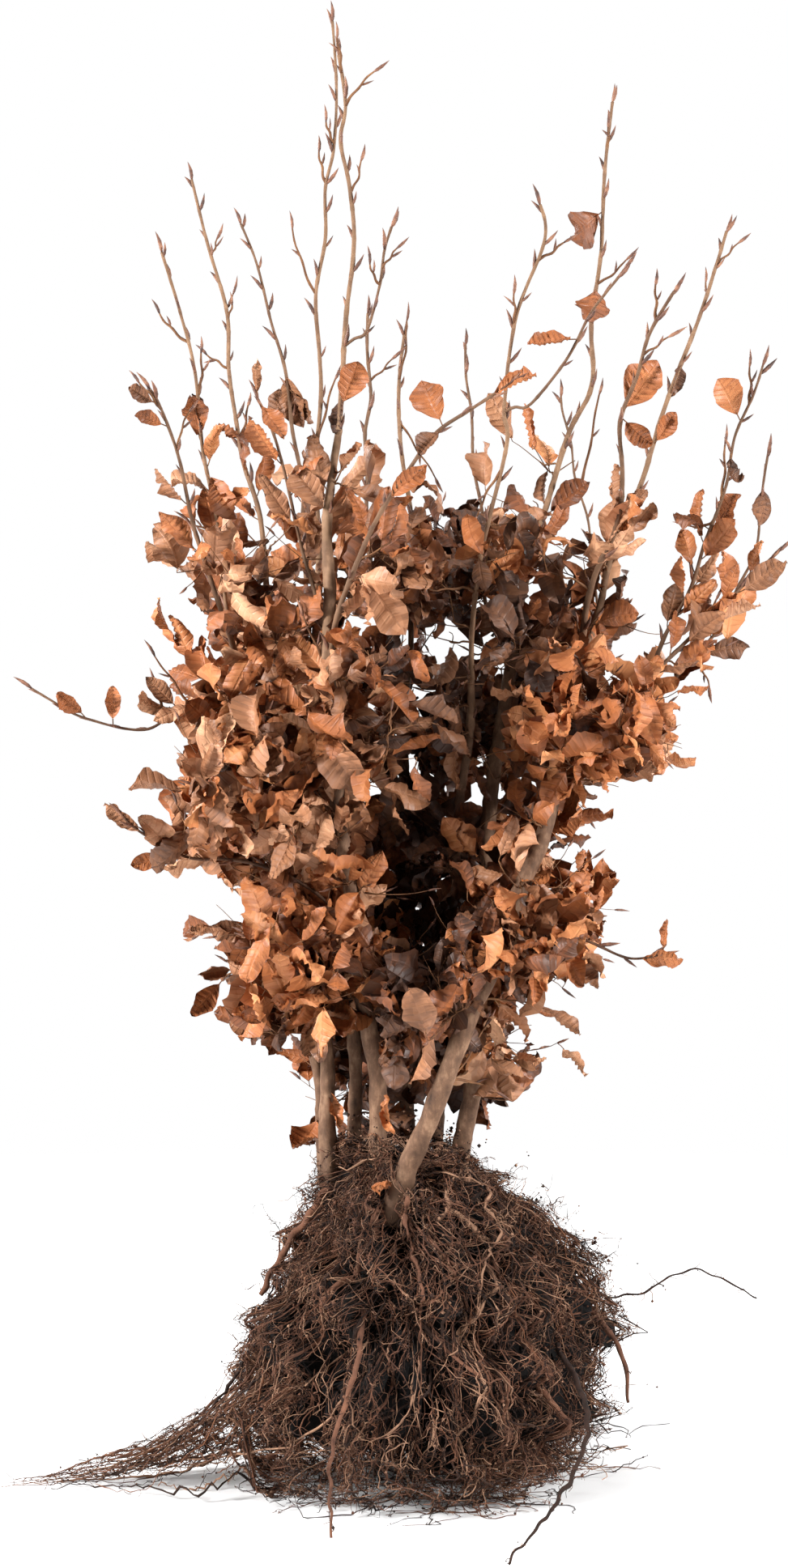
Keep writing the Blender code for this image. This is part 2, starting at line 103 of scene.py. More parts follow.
def lengths_along(path: Array) -> Array:
    """Return the distance of each point from the path's start, measured along it."""
    steps = np.linalg.norm(np.diff(path, axis=0), axis=1)
    return np.concatenate([[0.0], np.cumsum(steps)])


def smooth_path(knots: Array, step: float) -> Array:
    """Trace a Catmull-Rom curve through knots.

    Args:
        knots: Points to pass through, one to a row.
        step: Longest distance between two points of the result.

    Returns:
        Points along the curve, ending on the last knot.
    """
    ends = np.vstack([2 * knots[0] - knots[1], knots, 2 * knots[-1] - knots[-2]])
    traced = []
    for before, start, end, after in zip(ends[:-3], ends[1:-2], ends[2:-1], ends[3:]):
        pieces = max(1, math.ceil(float(np.linalg.norm(end - start)) / step))
        t = (np.arange(pieces) / pieces)[:, None]
        traced.append(0.5 * (2 * start + (end - before) * t
                             + (2 * before - 5 * start + 4 * end - after) * t ** 2
                             + (3 * start - before - 3 * end + after) * t ** 3))
    return np.vstack([*traced, knots[-1:]])


def hermite(start: Array, start_pull: Array, end: Array, end_pull: Array, count: int) -> Array:
    """Join pairs of points with cubic curves that leave and arrive along given directions.

    Formula: the cubic Hermite blend of both points and both pulls at even steps of t from 0 to 1.

    Args:
        start: Start points, shape (n, 3).
        start_pull: Leaving direction times strength, shape (n, 3).
        end: End points, shape (n, 3).
        end_pull: Arriving direction times strength, shape (n, 3).
        count: Points on each curve.

    Returns:
        Points of shape (n, count, 3).
    """
    t = np.linspace(0.0, 1.0, count)[None, :, None]
    return ((2 * t ** 3 - 3 * t ** 2 + 1) * start[:, None]
            + (t ** 3 - 2 * t ** 2 + t) * start_pull[:, None]
            + (3 * t ** 2 - 2 * t ** 3) * end[:, None]
            + (t ** 3 - t ** 2) * end_pull[:, None])


def read_tree(node: str) -> BVHTree:
    """Return a search tree of a CAD node's faces."""
    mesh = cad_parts[node].data
    return BVHTree.FromPolygons([vertex.co for vertex in mesh.vertices],
                                [tuple(face.vertices) for face in mesh.polygons])


class Ripple:
    """Smooth seeded noise: the mean of sine waves of like length in all directions."""

    WAVES = 7
    SHIFTS = np.array([[0.0, 0.0, 0.0], [5.2, 1.3, 7.7], [2.9, 8.4, 3.1]])

    def __init__(self, seed: int, wavelength: float) -> None:
        """Draw the waves from a seed, about a middle wavelength in metres."""
        rng = np.random.default_rng(seed)
        length = wavelength * rng.uniform(0.6, 1.7, self.WAVES)
        self.wave = unit(rng.normal(size=(self.WAVES, 3))) * (TURN / length)[:, None]
        self.phase = rng.uniform(0.0, TURN, self.WAVES)

    def __call__(self, points: Array) -> Array:
        """Return the noise at points of shape (..., 3), mostly between -1 and 1."""
        return np.sin(points @ self.wave.T + self.phase).sum(axis=-1) * math.sqrt(2.0 / self.WAVES)

    def push(self, points: Array) -> Array:
        """Return a three-way noise vector at each point, by reading the noise at shifted places."""
        return np.stack([self(points + shift) for shift in self.SHIFTS], axis=-1)


@dataclass
class Batch:
    """Faces of one kind: corner numbers, corner places in their cell, cell numbers and slots."""

    faces: Array
    places: Array
    cells: Array
    slots: Array | int = 0


@dataclass
class MeshDraft:
    """A mesh in the making. Batches of faces are added, then it is made in one go.

    Each batch belongs to cells: a cell is one strand, leaf or bud, and gets its own place in the bake
    map. Corner places inside a cell run from 0 to 1 both ways.
    """

    points: list[Array] = field(default_factory=list)
    faces: list[Array] = field(default_factory=list)
    slots: list[Array] = field(default_factory=list)
    cells: list[Array] = field(default_factory=list)
    places: list[Array] = field(default_factory=list)
    point_count: int = 0
    cell_count: int = 0
    cell_rim: float = 0.04

    def add(self, points: Array, batches: list[Batch]) -> None:
        """Add points with the batches of faces between them.

        Args:
            points: Points of shape (n, 3).
            batches: Face batches, counted from the first of these points and cells.
        """
        for batch in batches:
            self.faces.append(batch.faces + self.point_count)
            self.slots.append(np.broadcast_to(batch.slots, len(batch.faces)))
            self.cells.append(np.repeat(batch.cells + self.cell_count, batch.faces.shape[1]))
            self.places.append(batch.places.reshape(-1, 2))
        self.points.append(points)
        self.point_count += len(points)
        self.cell_count += 1 + max(int(batch.cells.max()) for batch in batches)

    def triangles(self) -> int:
        """Return how many triangles the draft holds."""
        return int(sum(len(faces) * (faces.shape[1] - 2) for faces in self.faces))

    def bake_places(self) -> Array:
        """Return each corner's place in the bake map, with the cells laid out in rows."""
        columns = math.ceil(math.sqrt(self.cell_count))
        rows = math.ceil(self.cell_count / columns)
        cells = np.concatenate(self.cells)
        inner = self.cell_rim + (1.0 - 2.0 * self.cell_rim) * np.concatenate(self.places)
        return np.stack([(cells % columns + inner[:, 0]) / columns,
                         (cells // columns + inner[:, 1]) / rows], axis=-1)

    def make(self, name: str, materials: list[bpy.types.Material],
             stands_for: tuple[str, ...] = (), cell_map: str = "") -> None:
        """Make the mesh object at the origin, riding on the plant's body.

        Args:
            name: Name of the piece.
            materials: Its material slots in order.
            stands_for: CAD nodes that the piece replaces.
            cell_map: Name of a map of the places inside each cell, if the finish reads one.
        """
        points = np.concatenate(self.points)
        corners = np.concatenate([faces.ravel() for faces in self.faces])
        sizes = np.concatenate([np.full(len(faces), faces.shape[1]) for faces in self.faces])
        mesh = bpy.data.meshes.new(name)
        mesh.vertices.add(len(points))
        mesh.vertices.foreach_set("co", points.astype(np.float32).ravel())
        mesh.loops.add(len(corners))
        mesh.loops.foreach_set("vertex_index", corners.astype(np.int32))
        mesh.polygons.add(len(sizes))
        starts = np.concatenate([[0], np.cumsum(sizes)[:-1]])
        mesh.polygons.foreach_set("loop_start", starts.astype(np.int32))
        mesh.polygons.foreach_set("material_index", np.concatenate(self.slots).astype(np.int32))
        layers = {"OFBake": self.bake_places()}
        if cell_map:
            layers[cell_map] = np.concatenate(self.places)
        for map_name, values in layers.items():
            layer = mesh.uv_layers.new(name=map_name)
            layer.data.foreach_set("uv", values.astype(np.float32).ravel())
        mesh.uv_layers[list(layers)[-1]].active_render = True
        mesh.update(calc_edges=True)
        mesh.shade_smooth()
        for material in materials:
            mesh.materials.append(material)
        piece = bpy.data.objects.new(name, mesh)
        bpy.context.scene.collection.objects.link(piece)
        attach(piece, BODY)
        if stands_for:
            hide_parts(*stands_for)
        LOG.info("%s: %d triangles", name, self.triangles())


def corners_of(grid: Array) -> Array:
    """Return the values at the four corners of each cell of a grid, in order round the cell."""
    return np.stack([grid[..., :-1, :-1], grid[..., :-1, 1:], grid[..., 1:, 1:], grid[..., 1:, :-1]], axis=-1)


def closed(index: Array) -> Array:
    """Repeat a grid's first column after its last, so that its rows close up."""
    return np.concatenate([index, index[..., :1]], axis=-1)


def grid_places(across: Array, along: Array) -> Array:
    """Return the corner places of a grid's faces, given the place of each column and row."""
    u, v = np.meshgrid(across, along)
    return np.stack([corners_of(u), corners_of(v)], axis=-1).reshape(-1, 4, 2)


def sweep(paths: Array, radii: Array, sides: int, slots: Array | int = 0) -> tuple[Array, list[Batch]]:
    """Carry a round section along many paths at once.

    Formula: a ring's point is the path's point plus radius times (cos a times N plus sin a times B). N
    is carried from ring to ring by taking off its part along the path, and B is square to both.

    Args:
        paths: Paths of shape (n, rings, 3).
        radii: Radii of shape (n, rings), or (n, rings, sides) for a section that isn't round.
        sides: Points round a ring.
        slots: Material slot of each path, or of all.

    Returns:
        The points, and the batches: the walls, the start caps and the end caps.
    """
    count, rings = paths.shape[:2]
    tangent = headings(paths)
    normal = np.empty_like(paths)
    carried = np.cross(tangent[:, 0], np.array([0.31, 0.83, 0.46]))
    for ring in range(rings):
        carried = normal[:, ring] = square_to(carried, tangent[:, ring])
    binormal = np.cross(tangent, normal)
    angle = even_turns(sides)
    if radii.ndim == 2:
        radii = np.repeat(radii[:, :, None], sides, axis=2)
    around = np.cos(angle)[:, None] * normal[:, :, None] + np.sin(angle)[:, None] * binormal[:, :, None]
    points = paths[:, :, None] + radii[..., None] * around
    index = np.arange(count * rings * sides).reshape(count, rings, sides)
    places = grid_places(np.arange(sides + 1) / sides, np.linspace(0.06, 0.94, rings))
    disc = np.stack([0.5 + 0.4 * np.cos(angle), 0.025 + 0.02 * np.sin(angle)], axis=-1)
    own = np.arange(count)
    slots = np.broadcast_to(slots, count)
    walls = len(places)
    return points.reshape(-1, 3), [
        Batch(corners_of(closed(index)).reshape(-1, 4), np.broadcast_to(places, (count, walls, 4, 2)),
              np.repeat(own, walls), np.repeat(slots, walls)),
        Batch(index[:, 0, ::-1], np.broadcast_to(disc[::-1], (count, sides, 2)), own, slots),
        Batch(index[:, -1], np.broadcast_to(disc + [0.0, 0.95], (count, sides, 2)), own, slots)]


# ---- Finishes ----


Colour = tuple[int, int, int]
Socket = bpy.types.NodeSocket
BLACK, WHITE = (0.0, 0.0, 0.0, 1.0), (1.0, 1.0, 1.0, 1.0)
TINT_STEPS = 9


def linear(red: int, green: int, blue: int) -> tuple[float, float, float, float]:
    """Return the linear colour of three display values between 0 and 255."""
    shares = [value / 255.0 for value in (red, green, blue)]
    return (*[s / 12.92 if s <= 0.04045 else ((s + 0.055) / 1.055) ** 2.4 for s in shares], 1.0)


class LeafFamily(Enum):
    """Two families of dry leaf colour, each as display values from its darkest to its palest."""

    ORANGE = ((60, 33, 18), (112, 63, 33), (156, 91, 50), (190, 126, 80))
    GREY = ((68, 42, 28), (113, 73, 48), (157, 107, 74), (200, 150, 114))

    def tint(self, step: int) -> Colour:
        """Return the colour of a tint step, from 0 for the darkest to the palest."""
        share, knots = step / (TINT_STEPS - 1), np.linspace(0.0, 1.0, len(self.value))
        return tuple(int(np.interp(share, knots, channel)) for channel in zip(*self.value))


@dataclass
class NodeSheet:
    """Short ways to lay out shader nodes in a material, a group or a world."""

    tree: bpy.types.NodeTree

    def add(self, kind: str, **settings: object) -> bpy.types.Node:
        """Add a node and set its attributes."""
        node = self.tree.nodes.new(kind)
        for name, value in settings.items():
            setattr(node, name, value)
        return node

    def feed(self, target: Socket, source: object) -> None:
        """Link an input to a socket, or set it to a value."""
        if isinstance(source, Socket):
            self.tree.links.new(source, target)
        else:
            target.default_value = source

    def place(self) -> Socket:
        """Return the place in the object's own coordinates."""
        return self.add("ShaderNodeTexCoord").outputs["Object"]

    def split(self, vector: Socket) -> bpy.types.NodeOutputs:
        """Return the three parts of a vector."""
        node = self.add("ShaderNodeSeparateXYZ")
        self.feed(node.inputs[0], vector)
        return node.outputs

    def stretch(self, vector: Socket, scale: float) -> Socket:
        """Return a place with its height multiplied by a scale."""
        node = self.add("ShaderNodeMapping")
        node.inputs["Scale"].default_value = (1.0, 1.0, scale)
        self.feed(node.inputs["Vector"], vector)
        return node.outputs[0]

    def math(self, operation: str, *values: object) -> Socket:
        """Add a Math node on sockets or numbers and return its result."""
        node = self.add("ShaderNodeMath", operation=operation)
        for socket, value in zip(node.inputs, values):
            self.feed(socket, value)
        return node.outputs[0]

    def weigh(self, first: Socket, first_weight: float, second: Socket, second_weight: float) -> Socket:
        """Return the sum of two values, each times its weight."""
        return self.math("ADD", self.math("MULTIPLY", first, first_weight),
                         self.math("MULTIPLY", second, second_weight))

    def noise(self, vector: Socket, scale: float, detail: float = 2.0, roughness: float = 0.5) -> Socket:
        """Add a noise texture and return its value.

        Args:
            vector: Place to read the noise at.
            scale: Waves in a metre.
            detail: How many finer layers are added.
            roughness: Strength of the finer layers.

        Returns:
            The noise, between 0 and 1.
        """
        node = self.add("ShaderNodeTexNoise")
        self.feed(node.inputs["Vector"], vector)
        for name, value in (("Scale", scale), ("Detail", detail), ("Roughness", roughness)):
            node.inputs[name].default_value = value
        return node.outputs["Fac"]

    def ramp(self, value: Socket, stops: list[tuple[float, tuple[float, ...]]]) -> Socket:
        """Add a colour ramp.

        Args:
            value: What the ramp reads.
            stops: Places with their colours, in rising order.

        Returns:
            The ramp's colour.
        """
        node = self.add("ShaderNodeValToRGB")
        elements = node.color_ramp.elements
        while len(elements) < len(stops):
            elements.new(0.5)
        for element, (place, colour) in zip(elements, stops):
            element.position = place
            element.color = colour
        self.feed(node.inputs["Fac"], value)
        return node.outputs["Color"]

    def fade(self, value: Socket, black_at: float, white_at: float) -> Socket:
        """Return a mask that goes from black at one value to white at another."""
        return self.ramp(value, sorted([(black_at, BLACK), (white_at, WHITE)]))

    def mix(self, share: Socket, first: Socket, second: tuple[float, ...]) -> Socket:
        """Return the first colour blended toward the second by a share."""
        node = self.add("ShaderNodeMix", data_type="RGBA", blend_type="MIX")
        for socket, value in ((node.inputs[0], share), (node.inputs[6], first), (node.inputs[7], second)):
            self.feed(socket, value)
        return node.outputs[2]

    def group(self, tree: bpy.types.NodeTree, **given: object) -> bpy.types.Node:
        """Place a node group and feed its inputs by name."""
        node = self.add("ShaderNodeGroup", node_tree=tree)
        for name, value in given.items():
            self.feed(node.inputs[name], value)
        return node


def new_group(name: str, inputs: dict[str, str], outputs: list[str]) -> tuple[NodeSheet, dict, dict]:
    """Start a shader node group.

    Args:
        name: Name of the group.
        inputs: Kind of each input, Vector or Float, by name.
        outputs: Names of the outputs, which are values.

    Returns:
        The sheet to lay nodes on, the group's input sockets and its output sockets, both by name.
    """
    group = bpy.data.node_groups.new(name, "ShaderNodeTree")
    for label, kind in inputs.items():
        group.interface.new_socket(label, in_out="INPUT", socket_type=f"NodeSocket{kind}")
    for label in outputs:
        group.interface.new_socket(label, in_out="OUTPUT", socket_type="NodeSocketFloat")
    sheet = NodeSheet(group)
    source = sheet.add("NodeGroupInput")
    target = sheet.add("NodeGroupOutput")
    return (sheet, {label: source.outputs[label] for label in inputs},
            {label: target.inputs[label] for label in outputs})


@dataclass
class Skin(NodeSheet):
    """A material in the making: a sheet with a Principled shader."""

    material: bpy.types.Material
    shader: bpy.types.Node

    @classmethod
    def start(cls, name: str, roughness: float, specular: float = 0.5) -> "Skin":
        """Start a material with its name, roughness and specular level."""
        material = bpy.data.materials.new(name)
        material.use_nodes = True
        shader = material.node_tree.nodes["Principled BSDF"]
        shader.inputs["Roughness"].default_value = roughness
        shader.inputs["Specular IOR Level"].default_value = specular
        return cls(material.node_tree, material, shader)

    def wear(self, name: str, source: object) -> None:
        """Feed one of the shader's inputs."""
        self.feed(self.shader.inputs[name], source)

    def bump(self, height: Socket, distance: float, strength: float) -> None:
        """Feed a height through a Bump node into the shader's normal.

        Args:
            height: Height from 0 to 1.
            distance: What a height of one stands for, in metres.
            strength: Share of the relief that shows.
        """
        bump = self.add("ShaderNodeBump")
        bump.inputs["Distance"].default_value = distance
        bump.inputs["Strength"].default_value = strength
        self.feed(bump.inputs["Height"], height)
        self.wear("Normal", bump.outputs["Normal"])


def soil_dust() -> bpy.types.NodeTree:
    """Build the group for dried earth caught in bark: height under a top and noise give a soil mask."""
    sheet, given, made = new_group("soil_dust", {"Vector": "Vector", "Top": "Float"}, ["Mask"])
    height = sheet.math("SUBTRACT", given["Top"], sheet.split(given["Vector"])["Z"])
    patch = sheet.math("SUBTRACT", sheet.noise(given["Vector"], 60.0, 4.0, 0.65), 0.5)
    clamp = sheet.add("ShaderNodeClamp")
    sheet.feed(clamp.inputs["Value"], sheet.weigh(height, 9.0, patch, 2.6))
    sheet.feed(made["Mask"], clamp.outputs[0])
    return sheet.tree


@dataclass(frozen=True)
class BarkFinish:
    """Smooth beech bark: colour clouds, fine length-wise grain, pale pores and earth at the foot.

    The tan share is how far the bark turns tan on the sunny upper wood. Earth reaches up to soil_top.
    """

    name: str
    dark: Colour
    middle: Colour
    pale: Colour
    roughness: float
    grain_scale: float
    pore_scale: float
    soil_top: float
    tan_share: float = 0.0
    tan: Colour = (142, 111, 83)
    earth: Colour = (72, 52, 39)

    def build(self, soil: bpy.types.NodeTree) -> bpy.types.Material:
        """Build the material.

        Args:
            soil: The soil mask group.

        Returns:
            The finished material.
        """
        skin = Skin.start(self.name, self.roughness, 0.22)
        place = skin.place()
        cloud = skin.noise(place, 42.0, 4.0, 0.6)
        grain = skin.noise(skin.stretch(place, 0.40), self.grain_scale, 4.0, 0.6)
        pale = linear(*self.pale)
        colour = skin.ramp(skin.weigh(cloud, 0.55, grain, 0.45),
                           [(0.30, linear(*self.dark)), (0.50, linear(*self.middle)), (0.70, pale)])
        pores = skin.add("ShaderNodeTexVoronoi")
        pores.inputs["Scale"].default_value = self.pore_scale
        skin.feed(pores.inputs["Vector"], skin.stretch(place, 2.6))
        pore = skin.fade(pores.outputs["Distance"], 0.22, 0.10)
        colour = skin.mix(skin.math("MULTIPLY", pore, 0.22), colour, pale)
        high = skin.fade(skin.math("MULTIPLY", skin.split(place)["Z"], 0.5), 0.36, 0.47)
        patch = skin.fade(skin.noise(place, 38.0, 4.0, 0.7), 0.42, 0.56)
        patch = skin.math("ADD", skin.math("MULTIPLY", patch, 0.6), 0.4)
        share = skin.math("MULTIPLY", skin.math("MULTIPLY", high, patch), self.tan_share)
        colour = skin.mix(share, colour, linear(*self.tan))
        dust = skin.group(soil, Vector=place, Top=self.soil_top)
        colour = skin.mix(skin.math("MULTIPLY", dust.outputs[0], 0.75), colour, linear(*self.earth))
        skin.wear("Base Color", colour)
        skin.bump(skin.weigh(grain, 1.0, pore, 0.2), 0.0008, 0.25)
        return skin.material


@dataclass(frozen=True)
class RootFinish:
    """Matte root skin: brown fibres with paler stretches and dark earth between them."""

    name: str
    dark: Colour
    pale: Colour
    scale: float = 70.0

    def build(self) -> bpy.types.Material:
        """Build the material and return it."""
        skin = Skin.start(self.name, 0.88, 0.25)
        place = skin.place()
        blend = skin.weigh(skin.noise(place, self.scale, 4.0, 0.65), 0.6, skin.noise(place, 14.0), 0.4)
        skin.wear("Base Color", skin.ramp(blend, [(0.36, linear(*self.dark)), (0.64, linear(*self.pale))]))
        skin.bump(skin.noise(place, 420.0, 3.0, 0.7), 0.0008, 0.8)
        return skin.material


def leaf_pattern() -> bpy.types.NodeTree:
    """Build the group for a leaf's midrib, side veins and dried blisters, from the leaf's own map.

    U runs from base to tip, with seven pairs of veins, and V runs across from edge to edge.

    Returns:
        The group, which gives the relief and the roughness.
    """
    vein_pairs = 7.0
    sheet, given, made = new_group("leaf_pattern", {"UV": "Vector", "Place": "Vector"},
                                   ["Height", "Roughness"])
    along, over, _ = sheet.split(given["UV"])
    across = sheet.math("ABSOLUTE", sheet.math("SUBTRACT", sheet.math("MULTIPLY", over, 2.0), 1.0))
    row = sheet.math("MULTIPLY", along, vein_pairs)
    beside = sheet.math("ABSOLUTE", sheet.math("SUBTRACT", sheet.math("FRACT", row), 0.5))
    vein = sheet.fade(beside, 0.34, 0.49)
    midrib = sheet.fade(across, 0.12, 0.04)
    lines = sheet.math("MAXIMUM", sheet.math("MULTIPLY", vein, 0.7), midrib)
    sheet.feed(made["Height"], sheet.weigh(lines, 0.6, sheet.noise(given["Place"], 130.0), 0.5))
    patch = sheet.noise(given["Place"], 45.0)
    sheet.feed(made["Roughness"], sheet.math("ADD", 0.34, sheet.math("MULTIPLY", patch, 0.42)))
    return sheet.tree


@dataclass(frozen=True)
class LeafFinish:
    """One tint of dry leaf: a plain colour under relief and an uneven, slightly waxy shine."""

    family: LeafFamily
    step: int

    def build(self, pattern: bpy.types.NodeTree) -> bpy.types.Material:
        """Build the material.

        Args:
            pattern: The leaf pattern group.

        Returns:
            The finished material.
        """
        skin = Skin.start(f"leaf_{self.family.name.lower()}_{self.step}", 0.55, 0.4)
        skin.wear("Base Color", linear(*self.family.tint(self.step)))
        veins = skin.add("ShaderNodeUVMap", uv_map="veins").outputs[0]
        lines = skin.group(pattern, UV=veins, Place=skin.place())
        skin.wear("Roughness", lines.outputs["Roughness"])
        skin.bump(lines.outputs["Height"], 0.0010, 0.8)
        return skin.material


@dataclass(frozen=True)
class BudFinish:
    """Chestnut bud scales in soft blotches of dark, middle and pale brown."""

    dark: Colour = (62, 38, 28)
    middle: Colour = (104, 66, 48)
    pale: Colour = (146, 102, 76)

    def build(self) -> bpy.types.Material:
        """Build the material and return it."""
        skin = Skin.start("bud_scales", 0.68)
        place = skin.place()
        skin.wear("Base Color", skin.ramp(skin.noise(place, 90.0), [
            (0.34, linear(*self.dark)), (0.52, linear(*self.middle)), (0.72, linear(*self.pale))]))
        skin.bump(skin.noise(place, 300.0), 0.0002, 0.15)
        return skin.material


# ---- Stems and shoots ----


@dataclass
class LimbPath:
    """The centreline and radii of a stem, shoot or root, from foot to tip."""

    name: str
    path: Array
    radii: Array

    def fine(self, step: float) -> "LimbPath":
        """Return the limb resampled along a smooth curve at the given step."""
        path = smooth_path(self.path, step)
        share = lengths_along(path)
        knots = lengths_along(self.path)
        return LimbPath(self.name, path, np.interp(share / share[-1], knots / knots[-1], self.radii))

    @property
    def from_tip(self) -> Array:
        """Distance of each point from the tip."""
        distance = lengths_along(self.path)
        return distance[-1] - distance

    def bud_places(self, seed: int) -> Array:
        """Return the distances from the tip at which buds sit, wider apart further down."""
        rng = np.random.default_rng(seed + 5000)
        gaps = 0.024 + 0.0016 * np.arange(40) + rng.uniform(-0.005, 0.008, 40)
        places = np.cumsum(gaps)
        return places[places < self.from_tip[0] - 0.02]


def read_limb(node: str) -> LimbPath:
    """Read a limb's rings back from its solid.

    The solid's corners are laid along its longest direction, where each ring makes a cluster. A cluster
    that a cut has changed has an odd number of corners and is left out. The thicker end is the foot.

    Args:
        node: Name of the CAD node.

    Returns:
        The limb's centreline and radii.
    """
    ring_gap = 0.008
    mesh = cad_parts[node].data
    corners = np.empty(len(mesh.vertices) * 3)
    mesh.vertices.foreach_get("co", corners)
    corners = np.unique(np.round(corners.reshape(-1, 3), 5), axis=0)
    spread = corners - corners.mean(axis=0)
    axis = np.linalg.svd(spread, full_matrices=False)[2][0]
    along = spread @ axis
    order = np.argsort(along)
    breaks = np.nonzero(np.diff(along[order]) > ring_gap)[0] + 1
    rings = [corners[part] for part in np.split(order, breaks)]
    sides = int(np.median([len(ring) for ring in rings]))
    rings = [ring for ring in rings if len(ring) == sides]
    path = np.array([ring.mean(axis=0) for ring in rings])
    radii = np.array([np.linalg.norm(ring - ring.mean(axis=0), axis=1).mean() for ring in rings])
    if radii[0] < radii[-1]:
        path, radii = path[::-1], radii[::-1]
    return LimbPath(node, path, radii)


def nodes_named(*starts: str) -> tuple[str, ...]:
    """Return the CAD nodes whose names start with any of the given words, in order."""
    return tuple(sorted(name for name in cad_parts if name.startswith(starts)))


STEM_NODES = nodes_named("stem_")
MASS_NODES = nodes_named("leaves_")
ROOT_RUN_NODES = ("root_back", "root_front_left", "root_front_right", "root_left_collar",
                  "root_right_fine", "root_right_thick")


@dataclass
class Wood:
    """All stems and shoots, with bark relief.

    Drop is how far below a shoot's foot its stem is looked for. The last tip_rings rings are left off
    for the end bud. The flare grows below flare_from over flare_fade.
    """

    bark: bpy.types.Material
    young_bark: bpy.types.Material
    stem_sides: int = 16
    shoot_sides: int = 8
    stem_step: float = 0.0050
    shoot_step: float = 0.0045
    drop: float = 0.13
    tip_rings: int = 4
    ring_relief: float = 0.16
    ring_width: float = 0.0035
    flare: float = 0.16
    flare_from: float = 0.375
    flare_fade: float = 0.030
    stems: list[LimbPath] = field(default_factory=list)
    limbs: list[LimbPath] = field(default_factory=list)

    def read(self) -> None:
        """Read every limb, and lead each shoot's foot down to the stem that it grows from."""
        self.stems = [read_limb(node).fine(self.stem_step) for node in STEM_NODES]
        self.limbs = self.stems + [self.rooted(read_limb(node)).fine(self.shoot_step)
                                   for node in nodes_named("shoot_", "fork_")]

    def limb(self, name: str) -> LimbPath:
        """Return the limb of the given name."""
        return next(limb for limb in self.limbs if limb.name == name)

    def rooted(self, limb: LimbPath) -> LimbPath:
        """Lead a shoot's foot down in a curve to the nearest stem.

        Args:
            limb: The shoot as its solid shows it.

        Returns:
            The shoot with a curved stretch added below its foot.
        """
        foot = limb.path[0]
        heading = unit(limb.path[1] - foot)
        fork = limb.name.startswith("fork_")
        aim = foot - (heading * 0.01 if fork else np.array([0.0, 0.0, self.drop]))
        stem = min(self.stems, key=lambda stem: float(np.linalg.norm(stem.path - aim, axis=1).min()))
        ring = int(np.argmin(np.linalg.norm(stem.path - aim, axis=1)))
        end = stem.path[ring]
        onward = unit(stem.path[min(ring + 5, len(stem.path) - 1)] - stem.path[max(ring - 5, 0)])
        gap = float(np.linalg.norm(foot - end))
        lead = hermite(end[None], onward[None] * gap, foot[None], heading[None] * gap, 3 if fork else 7)[0]
        radii = np.linspace(min(limb.radii[0] * 1.35, stem.radii[ring] * 0.8), limb.radii[0], len(lead))
        return LimbPath(limb.name, np.vstack([lead[:-1], limb.path]), np.append(radii[:-1], limb.radii))

    def relief(self, limb: LimbPath, sides: int, seed: int, flares: bool) -> Array:
        """Work out the section of each ring.

        Formula: the radius times one plus soft lumps, plus old bud rings that stand out where the
        distance from the tip passes each node, plus lobes of root flare that die away up the foot.

        Args:
            limb: The fine limb.
            sides: Points round a ring.
            seed: Seed of the lumps.
            flares: Whether the limb has a root flare.

        Returns:
            Radii of shape (1, rings, sides).
        """
        angle = even_turns(sides)
        sample = polar(angle, 0.012, lengths_along(limb.path)[:, None])
        lumps = 0.055 * Ripple(seed, 0.045)(sample) + 0.030 * Ripple(seed + 1, 0.013)(sample)
        rings = np.zeros(len(limb.path))
        for place in limb.bud_places(seed):
            rings += self.ring_relief * np.exp(-((limb.from_tip - place) / self.ring_width) ** 2)
        fade = np.clip(0.0042 / limb.radii, 0.25, 1.0)
        section = 1.0 + lumps + (rings * fade)[:, None]
        if flares:
            low = np.exp(-np.maximum(limb.path[:, 2] - self.flare_from, 0.0) / self.flare_fade)
            section += (self.flare * low)[:, None] * np.maximum(0.0, np.cos(4 * angle + seed))
        radii = limb.radii + 0.0004 * np.clip(1.0 - limb.radii / 0.006, 0.0, 1.0)
        return (radii[:, None] * section)[None]

    def build(self) -> None:
        """Make one bark piece for each stem, shoot and fork."""
        for number, limb in enumerate(self.limbs):
            stem = limb.name in STEM_NODES
            sides = self.stem_sides if stem else self.shoot_sides
            finish, slot = (self.bark, "stem_bark") if stem else (self.young_bark, "shoot_bark")
            relief = self.relief(limb, sides, SEED + 7 * number, stem)
            draft = MeshDraft()
            draft.add(*sweep(limb.path[None, :-self.tip_rings], relief[:, :-self.tip_rings], sides))
            draft.make(f"{limb.name}_bark", [finish], (limb.name,))


# ---- Leaves and buds as sets of like things ----


LEAF_TRAITS = ("base", "axis", "face", "length", "width", "roll", "bend", "twist", "tint", "grey")


